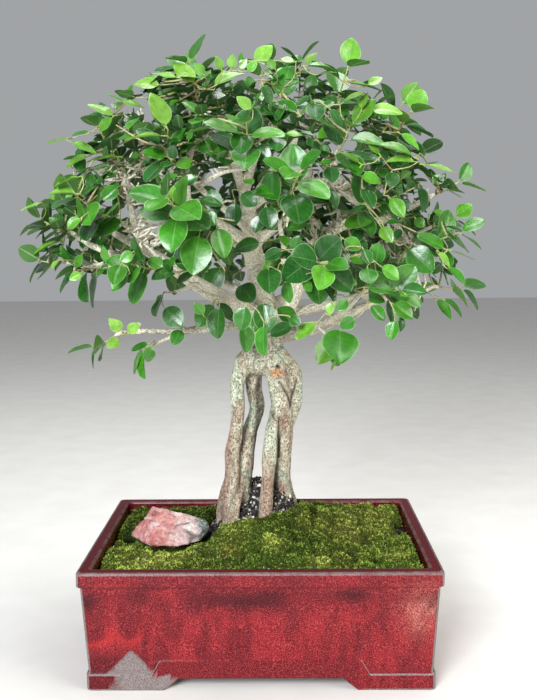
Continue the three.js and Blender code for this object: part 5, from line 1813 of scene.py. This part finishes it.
# Leaves in front
# The blades that show most in the photograph, each on a thin twig of its own from the nearest wood. They are
# written as the picture x and y of the blade's foot, the x and y of its tip and its apparent width, all in
# pixels, and its age from 0, mature and dark, to 1, young and lime.
front_leaves = [
    (163, 85, 133, 83.5, 15, 0.95), (168, 130, 152, 91, 20, 0.9), (197, 85, 174.5, 60.6, 18, 0.95),
    (180, 78, 151, 72, 9, 0.95), (210, 88, 243, 70, 15, 0.9), (116, 117, 88, 103, 11, 0.85),
    (117, 101, 145, 105, 9, 0.8), (72, 138, 45, 141, 8, 0.9), (68, 141, 98, 151.5, 10, 0.7),
    (90, 154.5, 65, 166, 11, 0.8), (122, 156.5, 86, 158.5, 8, 0.95), (167, 136, 124.5, 133, 8, 0.95),
    (79.6, 194, 47, 190, 9, 0.85), (42, 202.5, 20, 209, 6, 0.95), (81.6, 176, 52.6, 184, 7, 0.8),
    (61, 241, 31.6, 252, 8, 0.75), (126, 221, 93, 232, 20, 0.25), (121, 263, 117, 285, 21, 0.35),
    (130, 273, 111, 290, 16, 0.3), (200, 231, 194, 274, 33, 0.35), (216, 224, 226, 257.5, 22, 0.35),
    (263, 242, 235, 249, 17, 0.1), (235, 200, 233, 225, 18, 0), (241, 191, 255, 207, 18, 0.05),
    (222, 265, 208, 290, 22, 0.1), (239, 283, 253, 302, 23, 0.1), (219.5, 303.5, 216, 338.5, 22, 0.15),
    (163, 305.5, 182, 326, 22, 0.1), (181.6, 328, 174.5, 344, 15, 0.15), (204, 316, 196, 303, 12, 0.4),
    (123, 332, 112, 320, 13, 0.95), (126, 333, 141, 324, 12, 0.95), (120, 338, 110, 347, 12, 0.95),
    (243, 130, 241, 156.5, 24, 0.1), (255, 144, 268, 162, 18, 0.05), (204, 209.6, 215, 225, 14, 0.3),
    (202, 220, 182, 229, 12, 0.2), (190, 201, 164, 217, 7, 0.95), (173, 202, 175, 188, 11, 0.95),
    (182, 207.5, 208, 210, 13, 0.7), (196, 199, 223, 203.5, 12, 0.2), (180, 224, 158, 229, 10, 0),
    (194, 160.6, 177, 167, 13, 0.6), (253, 110.6, 237, 98, 13, 0.9), (253, 65, 272, 44, 17, 0.85),
    (262, 83, 272, 103, 12, 0.05), (91, 132, 72, 134, 8, 0.1), (114, 116, 98, 130, 12, 0.6),
    (250, 121, 225, 130, 15, 0.05), (220, 126, 185, 131, 6, 0.8), (120, 186, 103, 200, 16, 0.3),
    (134, 251, 121, 262, 12, 0.45), (83, 253, 74, 267, 10, 0.5), (83, 272, 70, 280, 10, 0.75),
    (82, 217, 66, 228, 12, 0.6), (80, 222, 79, 198, 4, 0.5), (60, 260, 49, 268, 6, 0.95),
    (181, 176, 159, 181, 9, 0.3), (198, 176, 183, 184, 12, 0.1),
    (296, 62, 281, 57, 8, 0.85), (304, 67.8, 318, 50.8, 9, 0.95), (303.5, 65.7, 335.7, 67, 9, 0.4),
    (315, 75, 336.7, 70.8, 6, 0.95), (366, 86, 382.6, 76.5, 10, 0.9), (340, 104.5, 367, 87.5, 8, 0.95),
    (361, 111.6, 367, 91, 8, 0.95), (367, 110.6, 403, 108.5, 17, 0.9), (328.5, 107.5, 343, 125, 13, 0),
    (315, 101, 315, 122, 20, 0), (283.6, 107, 275, 120, 9, 0.2), (277.5, 136, 276.5, 153.5, 19, 0.05),
    (283, 133.5, 303, 134, 8, 0.8), (284, 149, 303, 149, 7, 0.9), (292, 160, 290, 178, 20, 0),
    (272.5, 166.7, 270.5, 203.5, 22, 0.1), (291, 191, 291, 218, 28, 0.05), (330, 165, 332, 183, 17, 0),
    (328.5, 186, 337, 208.6, 12, 0), (266, 204, 270, 228, 20, 0), (340, 227, 371, 218, 15, 0.5),
    (311, 223, 284, 229, 14, 0.25), (342, 238, 361, 249, 15, 0.45), (380, 225, 391, 243.5, 15, 0.75),
    (388, 196, 405, 217, 17, 0.5), (392, 170, 391, 188, 15, 0.05), (418, 184, 426, 211, 14, 0),
    (418, 162, 387, 159, 11, 0.9), (420, 164, 457, 170.5, 9, 0.95), (418, 159, 377, 139, 14, 0.7),
    (381, 156, 366, 138, 10, 0.8), (398, 132, 421, 148, 12, 0.6), (362, 164.5, 340, 151, 9, 0.8),
    (405, 245, 431, 272, 28, 0.25), (447, 250, 418, 233, 16, 0.35), (448, 250, 476.5, 257.5, 4, 0.9),
    (319, 262, 338, 283, 17, 0.9), (341, 251, 348, 266, 10, 0), (362, 247, 370, 264, 13, 0.1),
    (315, 272, 337, 299, 17, 0), (300, 250, 303, 265, 11, 0.75), (302, 279, 312, 291, 10, 0.4),
    (288, 278, 288, 303, 13, 0.3), (268, 266, 270, 293, 27, 0.1), (262, 299, 268, 333, 26, 0.1),
    (379, 265, 400, 279, 15, 0.5), (367, 266, 368, 284, 19, 0.15), (343, 279, 357, 284, 10, 0.5),
    (364, 287, 394, 288, 14, 0.4), (390, 302, 414, 318, 18, 0.4), (405, 294, 422, 306, 13, 0.4),
    (434, 298, 453, 318, 13, 0.3), (442, 298, 464, 314, 9, 0.3), (444, 266, 467, 284, 12, 0.3),
    (369, 304, 385, 320, 15, 0.25), (395, 318, 391, 340, 14, 0.3), (400, 314, 401, 332, 9, 0),
    (332, 300, 329, 315, 9, 0.85), (348, 298, 337, 311, 13, 0.2), (318, 322, 295, 338, 13, 0.75),
    (340, 326, 337, 360, 38, 0.3), (357, 318, 340, 327, 15, 0.15), (295, 325, 270, 334, 15, 0.05),
    (289, 316, 299, 325, 12, 0.1), (433, 210, 445, 216, 8, 0.6), (414, 217, 423, 228, 11, 0.5),
    (358, 175, 382, 182, 14, 0.5), (342, 161, 363, 173, 9, 0.25), (243, 322, 249, 352, 17, 0.25),
    (264, 322, 262, 356, 15, 0.25), (437, 250, 452, 267, 9, 0.85), (338, 359, 330, 370, 3, 0.9),
    (152, 344, 147, 362, 13, 0.4), (150, 343, 131, 349, 8, 0.2), (222, 71, 217, 60, 10, 0.8),
    (231, 70, 233, 58, 10, 0.85), (238, 70, 247, 60, 9, 0.75), (246, 72, 257, 64, 10, 0.6),
    (205, 76, 196, 68, 11, 0.7), (276, 70, 268, 62, 9, 0.6), (284, 250, 264, 258, 14, 0.05),
    (246, 303, 240, 330, 20, 0.1), (282, 262, 292, 278, 13, 0.1), (262, 214, 254, 232, 14, 0),
]
twig_places = np.concatenate([curve_through(line, 6)[0] for line in spray_lines])


def seen_blade(foot, right, down, apparent, age):
    """A blade that looks so long and wide from the camera. One that looks short leans towards it, and one
    that looks narrow turns its face to the sky"""
    scale = (foot - camera_at) @ picture_ahead / focal_pixels
    flat = (picture_right * right - picture_up * down) * scale
    seen_length, seen_width = np.linalg.norm(flat), apparent * scale
    share = 0.76 - 0.16 * age
    length = max(seen_length, seen_width / share)
    lean = math.acos(seen_length / length)
    along = unit(unit(flat) * math.cos(lean) - picture_ahead * math.sin(lean))
    face = unit(-picture_ahead + along * picture_ahead.dot(along))
    side = np.cross(along, face)
    side = -side if side[2] < 0 else side
    turned = math.acos(min(1, seen_width / (share * length)))
    return foot, along, unit(face * math.cos(turned) + side * math.sin(turned)), length, share * length


def build_front():
    """The leaves in front as two pieces. Gives each one's picture places, half width and depth"""
    carriers = np.concatenate([wood_places, twig_places])
    halves = {"left": ([], []), "right": ([], [])}
    places = []
    for x, y, tip_x, tip_y, apparent, age in front_leaves:
        foot, _ = front_place(x, y, carriers, 26)
        away = carriers - foot
        across = np.linalg.norm(away - np.outer(away @ picture_ahead, picture_ahead), axis=1)
        start = carriers[(np.linalg.norm(away, axis=1) + 3 * across).argmin()]
        leaves, twigs = halves["left" if x < photo_size[0] / 2 else "right"]
        leaves.append(dressed_leaf(seen_blade(foot, tip_x - x, tip_y - y, apparent, age), age))
        if np.linalg.norm(foot - start) > 3:
            # The twig bends round behind the blade and meets its stalk end on
            sag = picture_ahead * 0.1 - leaves[-1][1] * 0.16
            middle = (start + foot) / 2 + sag * np.linalg.norm(foot - start)
            line, radii = curve_through([[*start, 0.7], [*middle, 0.55], [*foot, 0.4]], 5)
            twigs.append((line, radii))
            carriers = np.vstack([carriers, line[1:]])
        places.append((x, y, tip_x, tip_y, apparent / 2, foot[1]))
    for name, (leaves, twigs) in halves.items():
        build_foliage(f"front_leaves_{name}", leaves, twigs, fine=True)
    return np.array(places)


front_places = build_front()


# Filling shoots
# Between the sprays the crown is filled with shorter shoots, closest together at the top and round the
# outline. Where the photograph shows bare branches in front, they stay open.

# Windows in the foliage as picture x and y of their middle, and half sizes, in pixels
openings = [
    (105, 176, 14, 8), (143, 168, 24, 10), (106, 254, 44, 13), (152, 236, 38, 40), (205, 190, 28, 32),
    (250, 220, 14, 36), (305, 215, 26, 24), (345, 180, 20, 24), (215, 300, 44, 20), (285, 310, 20, 28),
    (330, 260, 34, 22),
]
# The outer filling and the one deep in the back: shoots wanted, spacing, how far out they end as a least and
# a most share of the crown's half size, and how far forward they may lie
fillings = [(385, 20, 0.66, 0.96, -200), (110, 17, 0.15, 0.72, 22)]
most_tries = 9000
# The crown's outline in the picture, clockwise from the left tip
crown_outline = np.array([
    (20, 207), (35, 188), (47, 138), (86, 101), (132, 78), (148, 66), (175, 58), (210, 68), (258, 42),
    (300, 50), (318, 50), (337, 63), (357, 88), (382, 73), (405, 107), (428, 158), (458, 164), (449, 200),
    (477, 252), (462, 290), (469, 316), (430, 310), (395, 337), (352, 352), (340, 368), (270, 357),
    (247, 355), (222, 345), (205, 318), (178, 288), (158, 266), (130, 288), (106, 272), (76, 282), (46, 270),
    (26, 250),
], float)


def on_picture(places):
    """Picture places, in pixels, of places in space"""
    away = np.atleast_2d(places) - camera_at
    ahead = away @ picture_ahead
    return np.stack([
        photo_size[0] / 2 + focal_pixels * (away @ picture_right) / ahead,
        photo_size[1] / 2 - focal_pixels * (away @ picture_up) / ahead,
    ], axis=1)


def is_outside(place):
    """Whether a place shows outside the crown's outline"""
    x, y = on_picture(place)[0]
    after = np.roll(crown_outline, -1, axis=0)
    crosses = (crown_outline[:, 1] > y) != (after[:, 1] > y)
    rise = np.where(crosses, after[:, 1] - crown_outline[:, 1], 1)
    at = crown_outline[:, 0] + (y - crown_outline[:, 1]) * (after[:, 0] - crown_outline[:, 0]) / rise
    return (crosses & (at > x)).sum() % 2 == 0


def in_opening(place):
    """Whether a place in the front half would cover one of the windows"""
    if place[1] > 20:
        return False
    x, y = on_picture(place)[0]
    return any(((x - a) / c) ** 2 + ((y - b) / d) ** 2 < 1 for a, b, c, d in openings)


def hides_front(blade):
    """Whether a blade would cover one of the leaves in front"""
    base, along, _, length, _ = blade
    places = base + along * length * np.array([[0.3], [0.65], [1.0]])
    seen = on_picture(places)[:, None]
    foot, way = front_places[:, :2], front_places[:, 2:4] - front_places[:, :2]
    part = np.clip(((seen - foot) * way).sum(2) / (way ** 2).sum(1), 0, 1)
    apart = np.linalg.norm(seen - foot - way * part[:, :, None], axis=2)
    return ((apart < front_places[:, 4] + 2) & (places[:, 1:2] < front_places[:, 5] + 6)).any()


def shoot_leaves(line, pairs, size, heading):
    """Opposite leaves along the outer part of a twig, each pair turned against the one before"""
    found = []
    begin = draw.uniform(0, 3)
    for k in range(pairs):
        last = k == pairs - 1
        base = line[int(round((len(line) - 1) * (1 - 0.62 * (pairs - 1 - k) / pairs)))]
        for side in (-1, 1):
            spread = draw.uniform(0.35, 0.7) if last else draw.uniform(0.8, 1.25)
            droop = draw.uniform(0, 0.35)
            towards = heading * draw.uniform(0.4, 0.9) + straight_up * draw.uniform(0.3, 0.8)
            towards = towards + draw.normal(0, 0.2, 3)
            along, face = leaf_ways(heading, begin + 1.4 * k, side, spread, droop, towards)
            length = size * (0.72 if last else 1) * draw.uniform(0.8, 1.12)
            blade = (base, along, face, length, length * draw.uniform(0.62, 0.78))
            if not is_outside(base + along * length) and not hides_front(blade):
                found.append(blade)
    return found


def fill_crown():
    """Shoots drawn at random and kept apart: first in the crown's outer shell, then deep in its back half"""
    tree = search_tree(np.concatenate([wood_places, twig_places]))
    taken = np.array([seat + heading * 20 for seat, heading, *_ in seats])
    shoots = []
    for wanted, spacing, inner, outer, front in fillings:
        count = 0
        for _ in range(most_tries):
            if count >= wanted:
                break
            height = draw.uniform(-0.6, 1)
            way = sphere_way(height, draw.uniform(0, 2 * math.pi))
            target = crown_middle + way * (crown_radii(height > 0) - 14) * draw.uniform(inner, outer)
            if target[1] < front or (np.linalg.norm(taken - target, axis=1) < spacing).any():
                continue
            place, _, apart = tree.find(target)
            if not 8 < apart < 62 or in_opening(target + way * 12) or is_outside(target):
                continue
            start = np.array(place)
            heading = unit(way + 0.35 * straight_up + draw.normal(0, 0.25, 3))
            pairs = 2 if apart < 22 else 3
            middle = (start + target) / 2 + draw.normal(0, 0.06, 3) * apart
            line, radii = curve_through([[*start, 1.4], [*middle, 1.0], [*target, 0.6]], 6)
            blades = shoot_leaves(line, pairs, draw.uniform(15, 29), heading)
            if blades:
                taken = np.vstack([taken, target])
                shoots.append((target, (line, radii), blades))
                count += 1
    return shoots


def build_filling():
    """The filling shoots, as a dozen pieces by height and direction"""
    groups = {}
    for target, twig, blades in fill_crown():
        away = target - crown_middle
        level = "top" if away[2] > 110 else "middle" if away[2] > 20 else "low"
        quarter = int((math.atan2(away[1], away[0]) / (math.pi / 2) + 0.5) % 4)
        side = ("right", "back", "left", "front")[quarter]
        groups.setdefault(f"{level}_{side}", []).append((twig, blades))
    for name, members in groups.items():
        leaves = [dressed_leaf(blade) for _, blades in members for blade in blades]
        build_foliage(f"shoots_{name}", leaves, [twig for twig, _ in members])


build_filling()
